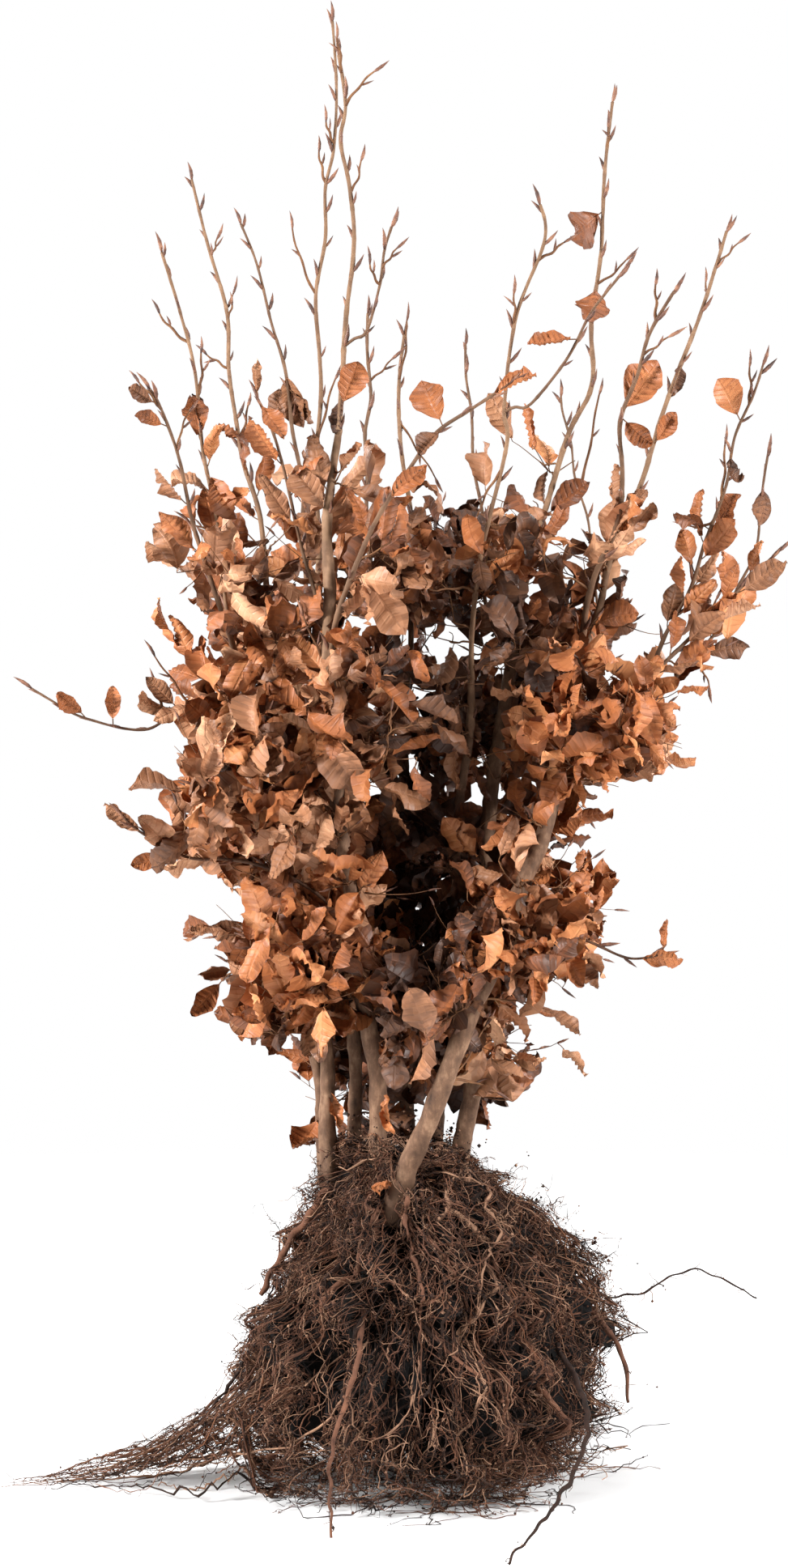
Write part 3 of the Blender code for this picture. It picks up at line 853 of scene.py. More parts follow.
@dataclass
class LeafSet:
    """Leaves to be made together, one to a row of each array.

    Base is the foot of the blade, axis its heading and face its upper side. Roll, bend and twist are
    turns in radians. Tint is a step of colour, and grey tells the family.
    """

    base: Array
    axis: Array
    face: Array
    length: Array
    width: Array
    roll: Array
    bend: Array
    twist: Array
    tint: Array
    grey: Array
    seed: int
    rows: int = 14
    across: int = 6

    def pick(self, keep: Array) -> "LeafSet":
        """Return the leaves that a mask or an index array keeps."""
        return replace(self, **{name: getattr(self, name)[keep] for name in LEAF_TRAITS})

    def coarse(self) -> "LeafSet":
        """Return the same leaves with fewer faces, for places deep inside the crown."""
        return replace(self, rows=8, across=4)

    def outline(self, u: Array, v: Array, rng: Chance) -> tuple[Array, Array]:
        """Work out where each point lies on its flat leaf, beside the even run from base to tip.

        Formula: the half width is that of an egg shape with a short point, times one plus small teeth
        and torn stretches, and one side is wider than the other. Rows slant forward beside the midrib,
        as the veins do.

        Args:
            u: Share from base to tip of each row.
            v: Share from the midrib to either edge of each column, from -1 to 1.
            rng: Source of chance.

        Returns:
            How far each point is ahead of its row's foot, and how far aside.
        """
        count, rows = len(self.length), self.rows
        low, high = rng.uniform(0.62, 0.85, (count, 1, 1)), rng.uniform(0.80, 1.05, (count, 1, 1))
        peak = low / (low + high)
        half = (u / peak) ** low * (np.maximum(1 - u, 0.0) / (1 - peak)) ** high
        half = 0.5 * self.width[:, None, None] * half + 0.0004
        torn = rng.normal(0.0, 0.12, (count, rows + 3, 2))
        torn = 0.25 * torn[:, :-2] + 0.5 * torn[:, 1:-1] + 0.25 * torn[:, 2:]
        torn = np.clip(torn, -0.30, 0.04)[:, :, (np.arange(self.across + 1) > self.across // 2).astype(int)]
        ragged = 1.0 + (0.010 * in_turn(rows + 1)[None] + torn) * 4 * u * (1 - u)
        lopsided = 1.0 + rng.normal(0.0, 0.12, (count, 1, 1)) * np.sign(v)
        return (0.50 * np.abs(v) * half * (1.0 - 0.55 * u),
                v * half * np.clip(ragged * lopsided, 0.35, 1.4))

    def grid(self) -> Array:
        """Work out every leaf's surface.

        Formula: rows rise and fall in turn, which makes the pleats, the sides fold up, and waves of the
        leaf's own phases lift the edge. The half width is rolled round the midrib on a circle, the
        section is turned by the twist times u, and the midrib follows a circle's arc.

        Returns:
            Points of shape (leaves, rows + 1, across + 1, 3).
        """
        rng = np.random.default_rng(self.seed)
        each = (len(self.length), 1, 1)
        u = np.linspace(0.0, 1.0, self.rows + 1)[None, :, None]
        v = np.linspace(-1.0, 1.0, self.across + 1)[None, None, :]
        beside = np.abs(v)
        size, half_width = self.length[:, None, None], 0.5 * self.width[:, None, None]
        ahead, aside = self.outline(u, v, rng)
        pleat = rng.uniform(0.028, 0.060, each) * size * in_turn(self.rows + 1)[None]
        pleat = pleat * (beside * (1.06 - beside)) * 2.7
        fold = rng.normal(0.22, 0.22, each) * np.abs(aside)
        phases = rng.uniform(0.0, TURN, (6, *each))
        left = 0.9 * np.sin(8.0 * u + phases[0]) + 0.7 * np.sin(15.0 * u + phases[1])
        right = 0.9 * np.sin(8.0 * u + phases[2]) + 0.7 * np.sin(15.0 * u + phases[4])
        edge = rng.uniform(0.030, 0.085, each) * size * np.where(v < 0, left, right) * beside ** 1.6
        rough = rng.normal(0.0, 1.0, (len(size), self.rows + 1, self.across + 1))
        rough = 0.5 * rough + 0.25 * (np.roll(rough, 1, axis=1) + np.roll(rough, 1, axis=2))
        crumple = 0.016 * size * rough * (0.3 + beside) * np.minimum(1.0, 4 * u)
        curve = self.roll[:, None, None] * (0.50 + 0.7 * u + 0.30 * np.sin(6.0 * u + phases[3])) / half_width
        curve = np.where(np.abs(curve) < 1.0, 1.0, curve)
        flat = np.sin(aside * curve) / curve
        lift = (1.0 - np.cos(aside * curve)) / curve + fold + pleat + edge + crumple
        turn = self.twist[:, None, None] * (u - 0.15)
        side = flat * np.cos(turn) - lift * np.sin(turn)
        rise = flat * np.sin(turn) + lift * np.cos(turn)
        bend = np.where(np.abs(self.bend) < 0.05, 0.05, self.bend)[:, None, None]
        way = bend * u
        run = size * np.sin(way) / bend + ahead * np.cos(way) - rise * np.sin(way)
        out = size * (1.0 - np.cos(way)) / bend + ahead * np.sin(way) + rise * np.cos(way)
        across = np.cross(self.face, self.axis)
        return (self.base[:, None, None] + run[..., None] * self.axis[:, None, None]
                + side[..., None] * across[:, None, None] + out[..., None] * self.face[:, None, None])

    def add_to(self, draft: MeshDraft) -> None:
        """Put the leaves into a draft, with a tint step dealt to each face.

        Formula: a face's step is the leaf's tint plus a chance walk from base to tip, a chance of its own and
        a stripe at every other row, which is painted light and shade on the pleats' rising and falling
        slopes. The edge is darker and the midrib paler.

        Args:
            draft: The draft to add to.
        """
        points = self.grid()
        count, rows, across = len(points), self.rows, self.across
        index = np.arange(points.size // 3).reshape(points.shape[:3])
        place = grid_places(np.linspace(0, 1, across + 1), np.linspace(0, 1, rows + 1))[..., ::-1]
        rng = np.random.default_rng(self.seed + 1)
        beside = np.abs(np.linspace(-1, 1, across))[None, None, :]
        cloud = np.cumsum(rng.normal(0.0, 0.26, (count, rows, 1)), axis=1)
        step = self.tint[:, None, None] + cloud + rng.normal(0.0, 0.16, (count, rows, across))
        # Every other row a step lighter or darker: painted light and shade along the pleats.
        step = step + 0.30 * in_turn(rows)[None] - 0.5 * (beside > 0.9) + 0.35 * (beside < 0.3)
        step = np.clip(np.rint(step), 0, TINT_STEPS - 1).astype(int)
        slots = (step + TINT_STEPS * self.grey[:, None, None]).ravel()
        draft.add(points.reshape(-1, 3), [Batch(
            corners_of(index).reshape(-1, 4), np.broadcast_to(place, (count, *place.shape)),
            np.repeat(np.arange(count), rows * across), slots)])


def join_leaves(sets: list[LeafSet], seed: int) -> LeafSet:
    """Join leaf sets into one with a new seed."""
    parts = {name: np.concatenate([getattr(one, name) for one in sets]) for name in LEAF_TRAITS}
    return LeafSet(**parts, seed=seed)


@dataclass
class BudSet:
    """Long pointed buds, one to a row of each array."""

    base: Array
    axis: Array
    length: Array
    girth: Array

    @classmethod
    def drawn(cls, base: Array, axis: Array, length: Span, girth: Span, rng: Chance) -> "BudSet":
        """Return buds at the given feet and headings, with sizes drawn from two ranges."""
        return cls(base, axis, rng.uniform(*length, len(base)), rng.uniform(*girth, len(base)))

    def add_to(self, draft: MeshDraft) -> None:
        """Put the buds into a draft.

        Formula: the radius along a bud is its girth times a spindle curve, and each scale's end makes a
        small step in it.

        Args:
            draft: The draft to add to.
        """
        t = np.array([0.0, 0.24, 0.28, 0.52, 0.56, 0.80, 1.0])
        spindle = np.array([0.45, 0.96, 0.86, 0.94, 0.80, 0.46, 0.05])
        sway = square_to(np.roll(self.axis, 1, axis=1) + 0.3, self.axis)
        paths = (self.base[:, None] + t[None, :, None] * (self.length[:, None] * self.axis)[:, None]
                 + (0.05 * np.sin(t * math.pi))[None, :, None] * (self.length[:, None] * sway)[:, None])
        draft.add(*sweep(paths, self.girth[:, None] * spindle[None], 5))


# ---- Crown ----


@dataclass(frozen=True)
class Opening:
    """A see-through place in the crown: a round passage from the front back to its furthest y.

    X and z are where it shows in the plane y = 0.
    """

    x: float
    z: float
    radius: float
    furthest: float = 1.0


# Openings right through the crown, then those that end in it or bare a stem behind.
OPENINGS = tuple(Opening(*row) for row in (
    (0.043, 0.925, 0.026), (0.002, 0.936, 0.012), (0.010, 0.868, 0.012), (0.176, 1.154, 0.018),
    (0.218, 0.908, 0.024), (0.020, 1.120, 0.012), (-0.176, 1.109, 0.041), (-0.150, 1.060, 0.023),
    (-0.258, 1.116, 0.031), (-0.298, 1.107, 0.052), (-0.300, 0.985, 0.047), (-0.321, 0.792, 0.041),
    (-0.228, 0.646, 0.031), (-0.279, 0.639, 0.018), (-0.273, 0.547, 0.047), (-0.251, 0.484, 0.043),
    (-0.203, 0.436, 0.031), (0.351, 0.877, 0.040), (0.332, 0.810, 0.040), (0.211, 0.727, 0.036),
    (0.270, 0.729, 0.045), (0.234, 0.562, 0.038), (0.184, 0.508, 0.032), (0.186, 1.132, 0.036),
    (0.216, 1.071, 0.023), (0.001, 1.117, 0.025), (0.267, 0.985, 0.027), (0.112, 1.116, 0.020),
    (0.166, 1.017, 0.013), (-0.081, 1.143, 0.018), (-0.255, 1.071, 0.027), (-0.228, 0.580, 0.031),
    (-0.234, 0.517, 0.027), (-0.167, 0.450, 0.031), (-0.293, 0.832, 0.032), (-0.287, 0.765, 0.020),
    (0.246, 0.760, 0.036), (0.201, 0.747, 0.023), (0.166, 0.694, 0.018), (0.112, 0.504, 0.013),
    (0.301, 0.855, 0.027), (0.184, 1.071, 0.023), (0.076, 1.107, 0.020), (0.004, 1.107, 0.018),
    (0.126, 0.981, 0.018), (-0.164, 0.990, 0.011), (-0.129, 0.936, 0.009), (-0.185, 0.873, 0.008),
    (-0.239, 0.963, 0.013), (-0.070, 0.927, 0.008), (0.198, 0.832, 0.009), (0.135, 0.783, 0.008),
    (-0.050, 0.864, 0.008), (0.157, 0.499, 0.031), (0.150, 0.451, 0.018), (-0.129, 0.441, 0.018),
    (-0.203, 0.477, 0.020), (-0.264, 0.832, 0.018), (-0.258, 0.882, 0.014), (0.297, 0.810, 0.022),
    (0.228, 0.670, 0.018), (0.117, 1.143, 0.022), (0.054, 1.237, 0.045), (0.274, 0.976, 0.023),
    (0.256, 1.017, 0.023), (-0.236, 0.936, 0.018), (-0.272, 0.785, 0.015), (-0.196, 0.637, 0.013),
    (-0.227, 0.529, 0.022), (0.160, 0.531, 0.027), (0.114, 0.531, 0.015), (0.385, 0.994, 0.019),
    (0.350, 0.938, 0.018), (0.282, 0.875, 0.020), (-0.187, 1.061, 0.019), (0.156, 1.081, 0.021),
    (0.217, 1.066, 0.018), (0.182, 0.973, 0.015), (0.338, 1.077, 0.022), (-0.050, 0.950, 0.013),
    (0.000, 0.943, 0.013), (-0.127, 0.427, 0.014),
    (-0.044, 0.450, 0.014, -0.04), (-0.050, 0.486, 0.013, -0.045), (-0.054, 0.522, 0.013, -0.05),
    (-0.059, 0.553, 0.011, -0.055), (-0.007, 0.963, 0.011, 0.14), (-0.007, 0.927, 0.011, 0.13),
    (-0.010, 0.883, 0.011, 0.12), (-0.009, 0.661, 0.036, 0), (-0.033, 0.760, 0.018, 0),
    (0.049, 0.954, 0.036, 0.04), (0.075, 0.855, 0.018, 0.03), (0.076, 0.747, 0.014, 0.02),
    (-0.005, 0.640, 0.047, 0), (0.040, 0.652, 0.025, 0), (0.001, 0.810, 0.022, 0.03),
    (0.087, 0.832, 0.023, 0.05), (0.103, 0.891, 0.020, 0.05), (0.076, 0.796, 0.020, 0.04),
    (0.005, 0.372, 0.014, -0.1), (0.014, 0.396, 0.015, -0.1), (0.023, 0.420, 0.015, -0.105),
    (0.033, 0.446, 0.015, -0.11), (0.042, 0.470, 0.014, -0.11), (0.051, 0.494, 0.013, -0.11),
    (0.060, 0.517, 0.012, -0.11), (0.112, 0.655, 0.014, -0.085), (0.121, 0.676, 0.014, -0.08),
    (0.130, 0.696, 0.013, -0.075),
))
CAMERA_PLACE = np.array([-0.0257, -3.2, 0.775])


def seen_at(points: Array) -> Array:
    """Project points along the camera's lines of sight onto the plane y = 0, and return x and z."""
    share = -CAMERA_PLACE[1] / (points[..., 1] - CAMERA_PLACE[1])
    return CAMERA_PLACE[[0, 2]] + (points[..., [0, 2]] - CAMERA_PLACE[[0, 2]]) * share[..., None]


def outside_openings(points: Array, margin: float = 0.0) -> Array:
    """Tell for each point whether it lies clear of every opening, by a margin."""
    seen = seen_at(points)
    clear = np.ones(points.shape[:-1], dtype=bool)
    for opening in OPENINGS:
        close = np.linalg.norm(seen - [opening.x, opening.z], axis=-1) < opening.radius + margin
        clear &= ~(close & (points[..., 1] < opening.furthest))
    return clear


# More places that sprays grow to: the box's low and high corner, and how many.
LOW_PLACES = {
    "leaves_centre_low_back": ((-0.115, 0.015, 0.410), (0.080, 0.110, 0.570), (36, 3)),
    "leaves_right_low": ((0.060, -0.060, 0.470), (0.125, 0.040, 0.560), (9, 3)),
}
# Heights between which a stem shows bare, and those that hold for all stems.
BARE_STRETCHES = (("stem_4", 0.86, 1.10), ("stem_6", 0.30, 0.51), ("stem_6", 0.67, 0.71),
                  ("stem_5", 0.86, 0.98))
BARE_BELOW, BARE_ABOVE = 0.50, 1.02
TOP_MASSES = ("leaves_centre_upper", "leaves_left_upper", "leaves_right_upper", "leaves_centre_back",
              "leaves_centre_right")


def in_bare_stretch(points: Array, stems: Array) -> Array:
    """Tell for each point on a numbered stem whether the stem shows bare there."""
    bare = (points[:, 2] < BARE_BELOW) | (points[:, 2] > BARE_ABOVE)
    for node, low, high in BARE_STRETCHES:
        bare |= (stems == STEM_NODES.index(node)) & (points[:, 2] > low) & (points[:, 2] < high)
    return bare


@dataclass(frozen=True)
class MassDress:
    """How full and how dark one leaf mass is.

    Density multiplies the number of sprays. Tint is the middle step of the colour family, and the low tints
    in the middle of the crown are partly painted shade. Grey is the share of sprays in the greyer family, and
    shade
    is painted shade: how many steps darker the innermost leaves are.
    """

    density: float = 1.0
    tint: float = 5.0
    grey: float = 0.38
    shade: float = 1.2


# Tints and painted shade by mass. The centre masses' low tints are dry-leaf colour darkened as painted shade
# of the deep recess in the crown's middle.
DRESS = {
    "leaves_centre_upper": MassDress(0.62, 3.8, 0.45, 2.4),
    "leaves_centre_back": MassDress(0.80, 1.0, 0.30, 2.6),
    "leaves_centre_right": MassDress(0.75, 1.0, 0.35, 2.6),
    "leaves_centre_low": MassDress(0.85, 2.2, 0.25, 3.0),
    "leaves_centre_low_back": MassDress(0.80, 0.8, 0.25, 2.0),
    "leaves_right_low": MassDress(0.95, 5.6, 0.40, 1.8),
    "leaves_right_middle": MassDress(0.88, 6.5, 0.30, 1.8),
    "leaves_right_upper": MassDress(0.70, 5.8, 0.40, 2.0),
    "leaves_left_upper": MassDress(0.65, 6.2, 0.60, 2.4),
    "leaves_left_low": MassDress(0.97, 5.4, 0.25, 2.2),
    "leaves_left_middle": MassDress(0.90, 6.2, 0.55, 2.8),
    "leaves_left_back": MassDress(0.90, 5.0, 0.40),
}


@dataclass
class LeafRoom:
    """The room that one leaf mass fills, read from its solid."""

    node: str
    tree: BVHTree
    low: Array
    high: Array
    dress: MassDress

    @classmethod
    def read(cls, node: str) -> "LeafRoom":
        """Read the room from a CAD node."""
        low, high = (np.array(corner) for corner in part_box(node))
        return cls(node, read_tree(node), low, high, DRESS.get(node, MassDress()))

    def depth(self, points: Array) -> tuple[Array, Array]:
        """Return each point's depth under the room's skin, and the skin's outward normal by it."""
        depths, normals = np.empty(len(points)), np.empty((len(points), 3))
        for row, point in enumerate(points):
            place, normal, _, distance = self.tree.find_nearest(Vector(point))
            inside = (place - Vector(point)).dot(normal) > 0.0
            depths[row] = distance if inside else -distance
            normals[row] = normal
        return depths, normals

    @property
    def litres(self) -> float:
        """Rough volume of the room, as that of the egg shape in its box."""
        return float(np.prod(self.high - self.low)) * math.pi / 6.0 * 1000


@dataclass
class Growth:
    """What one mass has grown: its leaves, their depths in the room, and their stalks."""

    leaves: LeafSet
    depths: Array
    stalks: Array


@dataclass
class Crown:
    """Twigs, leaves and buds that grow on from the stems and shoots.

    Top masses thin out over top_fade under their tops, and tufts run on up the shoots over tuft_rise,
    but not within tuftless: a middle x and a half width. Leaves on the far side are back_tint at least, which
    lifts the painted shade of the dark masses there.
    """

    wood: Wood
    leaf_finishes: list[bpy.types.Material]
    twig_finish: bpy.types.Material
    bud_finish: bpy.types.Material
    sprays_per_litre: float = 6.6
    top_fade: float = 0.13
    unevenness: float = 0.75
    patches: Ripple = field(default_factory=lambda: Ripple(SEED + 21, 0.13))
    tuft_rise: float = 0.10
    tuft_chance: float = 0.030
    tuftless: Span = (0.030, 0.105)
    twig_rings: int = 12
    twig_tip: float = 0.0008
    spur_rings: int = 6
    spurs_per_twig: int = 2
    spur_length: Span = (0.022, 0.060)
    leaf_length: Span = (0.036, 0.066)
    leaf_width: Span = (0.46, 0.68)
    stalk_length: Span = (0.005, 0.011)
    stalk_girth: float = 0.00055
    hanging_share: float = 0.40
    tightly_rolled_share: float = 0.50
    back_tint: float = 4.8
    coarse_from: float = 0.020
    bud_share: float = 0.40
    lowest_bud: float = 0.62
    buds: list[BudSet] = field(default_factory=list)
    leaf_count: int = 0

    def anchors(self, room: LeafRoom, rng: Chance) -> Array:
        """Choose the places that sprays grow to, well spread and mostly near the room's skin.

        Args:
            room: The leaf mass's room.
            rng: Source of chance.

        Returns:
            The chosen places.
        """
        wanted = max(8, int(room.litres * self.sprays_per_litre * room.dress.density))
        drawn = rng.uniform(room.low, room.high, (wanted * 14, 3))
        depth, _ = room.depth(drawn)
        weight = np.where(depth > 0.014, 0.40 + np.exp(-np.abs(depth - 0.030) / 0.022), 0.0)
        weight *= outside_openings(drawn, 0.012)
        if "centre" not in room.node:
            weight *= np.clip(0.62 + self.unevenness * self.patches(drawn), 0.03, 1.0)
        if room.node in TOP_MASSES:
            weight *= np.clip((room.high[2] - drawn[:, 2]) / self.top_fade, 0.15, 1.0)
        chosen = drawn[rng.uniform(0.0, 1.2, len(drawn)) < weight]
        picked = [int(rng.integers(len(chosen)))]
        gap = np.linalg.norm(chosen - chosen[picked[0]], axis=1)
        while len(picked) < min(wanted, len(chosen)):
            picked.append(int(np.argmax(gap)))
            gap = np.minimum(gap, np.linalg.norm(chosen - chosen[picked[-1]], axis=1))
        return chosen[picked]

    def stem_anchors(self, room: LeafRoom, rng: Chance) -> Array:
        """Choose places close round the stems that pass through or just in front of a room.

        Args:
            room: The leaf mass's room.
            rng: Source of chance.

        Returns:
            The places, none of them where a stem shows bare.
        """
        path = np.vstack([limb.path[::4] for limb in self.wood.stems])
        stems = np.repeat(np.arange(len(self.wood.stems)), [len(limb.path[::4]) for limb in self.wood.stems])
        depth, _ = room.depth(path)
        near = (depth > -0.035) & ~in_bare_stretch(path, stems)
        chosen = path[near][rng.uniform(0, 1, int(near.sum())) < 0.30]
        aside = unit(rng.normal(size=chosen.shape) * [1.0, 0.8, 0.25] + [0.0, -0.9, 0.0])
        return chosen + aside * rng.uniform(0.024, 0.050, len(chosen))[:, None] + 0.02 * UP

    def tufts(self, room: LeafRoom, rng: Chance) -> Array:
        """Choose places for leaf tufts that run on up the shoots out of an upper mass.

        Args:
            room: The leaf mass's room.
            rng: Source of chance.

        Returns:
            The places, fewer the higher they stand.
        """
        path = np.vstack([limb.path[::2] for limb in self.wood.limbs])
        over = path[:, 2] - room.high[2]
        near = np.all((path[:, :2] > room.low[:2] - 0.01) & (path[:, :2] < room.high[:2] + 0.01), axis=1)
        chance = self.tuft_chance * np.clip(1.0 - over / self.tuft_rise, 0.0, 1.0)
        near &= (over > -0.06) & (over < self.tuft_rise) & (rng.uniform(0, 1, len(path)) < chance)
        near &= np.abs(path[:, 0] - self.tuftless[0]) > self.tuftless[1]
        aside = unit(rng.normal(size=(int(near.sum()), 3)) * [1.0, 0.8, 0.3])
        places = path[near] + aside * 0.022 + 0.012 * UP
        return places[outside_openings(places)]

    def grow(self, places: Array, rng: Chance) -> tuple[Array, Array]:
        """Grow a twig to each place, from the nearest wood that grows yet, nearest places first.

        Args:
            places: Places to reach, shape (n, 3).
            rng: Source of chance.

        Returns:
            Twig paths of shape (n, twig_rings, 3) and radii of shape (n, twig_rings).
        """
        grown = np.vstack([limb.path[::3] for limb in self.wood.limbs])
        heading = np.vstack([headings(limb.path)[::3] for limb in self.wood.limbs])
        thick = np.concatenate([limb.radii[::3] for limb in self.wood.limbs])
        first = np.array([np.linalg.norm(grown - place, axis=1).min() for place in places])
        steps = np.arange(self.twig_rings)
        zigzag = np.where(steps % 4 < 2, 1.0, -1.0) * np.sin(steps / (self.twig_rings - 1) * math.pi)
        paths, radii = [], []
        for place in places[np.argsort(first)]:
            toward = place - grown
            distance = np.linalg.norm(toward, axis=1) + 1e-6
            way = toward / distance[:, None]
            along = np.sum(way * heading, axis=1)
            cost = distance * (1.0 + 0.9 * np.maximum(0.0, -way[:, 2]) + 0.6 * np.maximum(0.0, 0.25 - along))
            cost += np.where(distance < 0.018, 0.05, 0.0)
            root = int(np.argmin(cost))
            gap = distance[root]
            start_pull = unit(heading[root] * 0.9 + way[root] + rng.normal(0, 0.12, 3)) * gap * 1.1
            end_pull = unit(way[root] + 0.80 * UP + rng.normal(0, 0.30, 3)) * gap * 0.9
            path = hermite(grown[root][None], start_pull[None], place[None], end_pull[None],
                           self.twig_rings)[0]
            sideways = unit(np.cross(way[root], rng.normal(size=3)))
            path += (zigzag * min(0.0022, gap * 0.03))[:, None] * sideways
            foot = min(0.0011 + 0.010 * gap, 0.0026, thick[root] * 0.8)
            radius = np.linspace(foot, self.twig_tip, self.twig_rings) * (1.0 + 0.10 * (steps % 4 == 0))
            paths.append(path)
            radii.append(radius)
            grown = np.vstack([grown, path[3::3]])
            heading = np.vstack([heading, headings(path)[3::3]])
            thick = np.concatenate([thick, radius[3::3]])
        return np.array(paths), np.array(radii)

    def spurs(self, paths: Array, radii: Array, rng: Chance) -> tuple[Array, Array, Array]:
        """Grow short side twigs from twigs, to either side in turn.

        Args:
            paths: Twig paths.
            radii: Twig radii.
            rng: Source of chance.

        Returns:
            Spur paths, spur radii and the index of each spur's twig.
        """
        twig = np.repeat(np.arange(len(paths)), self.spurs_per_twig)
        ring = np.tile(np.linspace(0.35, 0.85, self.spurs_per_twig), len(paths)) * (self.twig_rings - 1)
        ring = np.clip(np.rint(ring + rng.normal(0, 1.0, len(ring))), 2, self.twig_rings - 2).astype(int)
        along = headings(paths)[twig, ring]
        side = square_to(np.cross(along, UP) * in_turn(len(twig)) + rng.normal(0, 0.45, along.shape), along)
        reach = rng.uniform(*self.spur_length, len(twig))[:, None]
        start = paths[twig, ring]
        way = unit(along * 0.75 + side)
        bent = unit(way + along * 0.6 + rng.normal(0, 0.25, way.shape))
        grown = hermite(start, way * reach, start + way * reach + 0.006 * UP, bent * reach, self.spur_rings)
        foot = np.minimum(radii[twig, ring] * 0.8, 0.0012)
        return grown, foot[:, None] * np.linspace(1.0, 0.62, self.spur_rings)[None], twig

    def best_axes(self, room: LeafRoom, start: Array, lean: Array, length: Array,
                  rng: Chance) -> tuple[Array, Array]:
        """Choose each leaf's heading as the best of four tries.

        The best heading brings the leaf's tip nearest to a chance depth under the room's skin.

        Args:
            room: The leaf mass's room.
            start: Where the leaves leave their twigs.
            lean: The heading that each leaf tends to.
            length: Leaf lengths.
            rng: Source of chance.

        Returns:
            The headings, and the skin's outward normals by them.
        """
        target = rng.uniform(-0.010, 0.026, len(start))
        hangs = rng.uniform(0, 1, len(start)) < self.hanging_share
        droop = np.where(hangs, rng.uniform(-1.9, -0.7, len(start)), rng.uniform(0.2, 1.3, len(start)))
        best, outward, least = np.zeros_like(start), np.zeros_like(start), np.full(len(start), np.inf)
        for _ in range(4):
            axis = unit(lean + droop[:, None] * UP + rng.normal(0, 0.42, start.shape))
            depth, normal = room.depth(start + axis * (length * 0.9)[:, None])
            miss = np.abs(depth - target)
            closer = miss < least
            best = np.where(closer[:, None], axis, best)
            outward = np.where(closer[:, None], normal, outward)
            least = np.where(closer, miss, least)
        return best, outward

    def leaves_on(self, paths: Array, shares: list[float], room: LeafRoom, tint: Array, grey: Array,
                  rng: Chance) -> Growth:
        """Set leaves along twigs at shares of their length, with their stalks.

        Args:
            paths: Twig paths of shape (n, rings, 3).
            shares: Places along each twig, from 0 to 1.
            room: The leaf mass's room.
            tint: Tint step of each twig's spray.
            grey: Tint family of each twig's spray.
            rng: Source of chance.

        Returns:
            The leaves with their stalks, but none in an opening.
        """
        rings = paths.shape[1]
        twig = np.repeat(np.arange(len(paths)), len(shares))
        count = len(twig)
        ring = np.tile(shares, len(paths)) * (rings - 1) + rng.normal(0, 0.05 * rings, count)
        ring = np.clip(np.rint(ring), 1, rings - 1).astype(int)
        start = paths[twig, ring]
        along = headings(paths)[twig, ring]
        side = square_to(np.cross(along, UP) * in_turn(count) + rng.normal(0, 0.5, along.shape), along)
        length = rng.uniform(*self.leaf_length, count)
        best, outward = self.best_axes(room, start, 0.85 * along + 0.65 * side, length, rng)
        stalk_length = rng.uniform(*self.stalk_length, count)[:, None]
        base = start + best * stalk_length + rng.normal(0, 0.0008, best.shape)
        face = square_to(outward * 0.9 + 0.25 * UP + rng.normal(0, 0.75, best.shape), best)
        stalks = hermite(start, (along + best) * stalk_length * 0.5, base + best * 0.002,
                         best * stalk_length, 3)
        tight = rng.uniform(0, 1, count) < self.tightly_rolled_share
        roll = np.where(tight, rng.uniform(1.2, 2.7, count), rng.uniform(0.2, 1.1, count))
        roll *= np.where(rng.uniform(0, 1, count) < 0.72, 1.0, -1.0)
        inner, _ = room.depth(base + best * (length * 0.5)[:, None])
        # Painted shade: leaves deep under the mass's skin are dealt darker tint steps.
        shade = room.dress.shade * np.clip((inner - 0.016) / 0.024, 0.0, 1.0)
        # The painted shade of dark masses is lifted on leaves that face the back, so it shows only from the
        # front.
        lift = max(0.0, self.back_tint - room.dress.tint)
        shade -= lift * np.clip(outward[:, 1] / 0.45 + 0.15, 0.0, 1.0)
        leaves = LeafSet(base, best, face, length, length * rng.uniform(*self.leaf_width, count), roll,
                         rng.normal(0.4, 1.0, count), rng.normal(0, 0.9, count),
                         tint[twig] + rng.normal(0, 0.9, count) - shade, grey[twig], 0)
        keep = outside_openings(base + best * (length * 0.5)[:, None], 0.004)
        keep &= outside_openings(base + best * (length * 0.9)[:, None], -0.006)
        return Growth(leaves.pick(keep), inner[keep], stalks[keep])

    def build_mass(self, node: str, seed: int) -> None:
        """Grow one leaf mass and make its leaf piece and its twig piece.

        Args:
            node: Name of the mass's CAD node.
            seed: Seed of all its chances.
        """
        rng = np.random.default_rng(seed)
        room = LeafRoom.read(node)
        places = [self.anchors(room, rng), self.stem_anchors(room, rng)]
        if node in LOW_PLACES:
            places.append(rng.uniform(*LOW_PLACES[node]))
        if node in TOP_MASSES:
            places.append(self.tufts(room, rng))
        twigs, radii = self.grow(np.vstack(places), rng)
        tint = rng.normal(room.dress.tint, 1.35 if room.dress.tint > 4.5 else 0.85, len(twigs))
        grey = (rng.uniform(0, 1, len(twigs)) < room.dress.grey).astype(int)
        spurs, spur_radii, parent = self.spurs(twigs, radii, rng)
        grown = [self.leaves_on(twigs, [0.55, 0.78, 1.0], room, tint, grey, rng),
                 self.leaves_on(spurs, [0.6, 1.0], room, tint[parent], grey[parent], rng)]
        leaves = join_leaves([growth.leaves for growth in grown], seed + 1)
        deep = np.concatenate([growth.depths for growth in grown]) > self.coarse_from
        self.leaf_count += len(deep)
        draft = MeshDraft()
        leaves.pick(~deep).add_to(draft)
        if deep.any():
            leaves.pick(deep).coarse().add_to(draft)
        label = node.removeprefix("leaves_")
        draft.make(f"leaf_sprays_{label}", self.leaf_finishes, (node,), "veins")
        stalks = np.concatenate([growth.stalks for growth in grown])
        wood = MeshDraft()
        wood.add(*sweep(twigs, radii, 5))
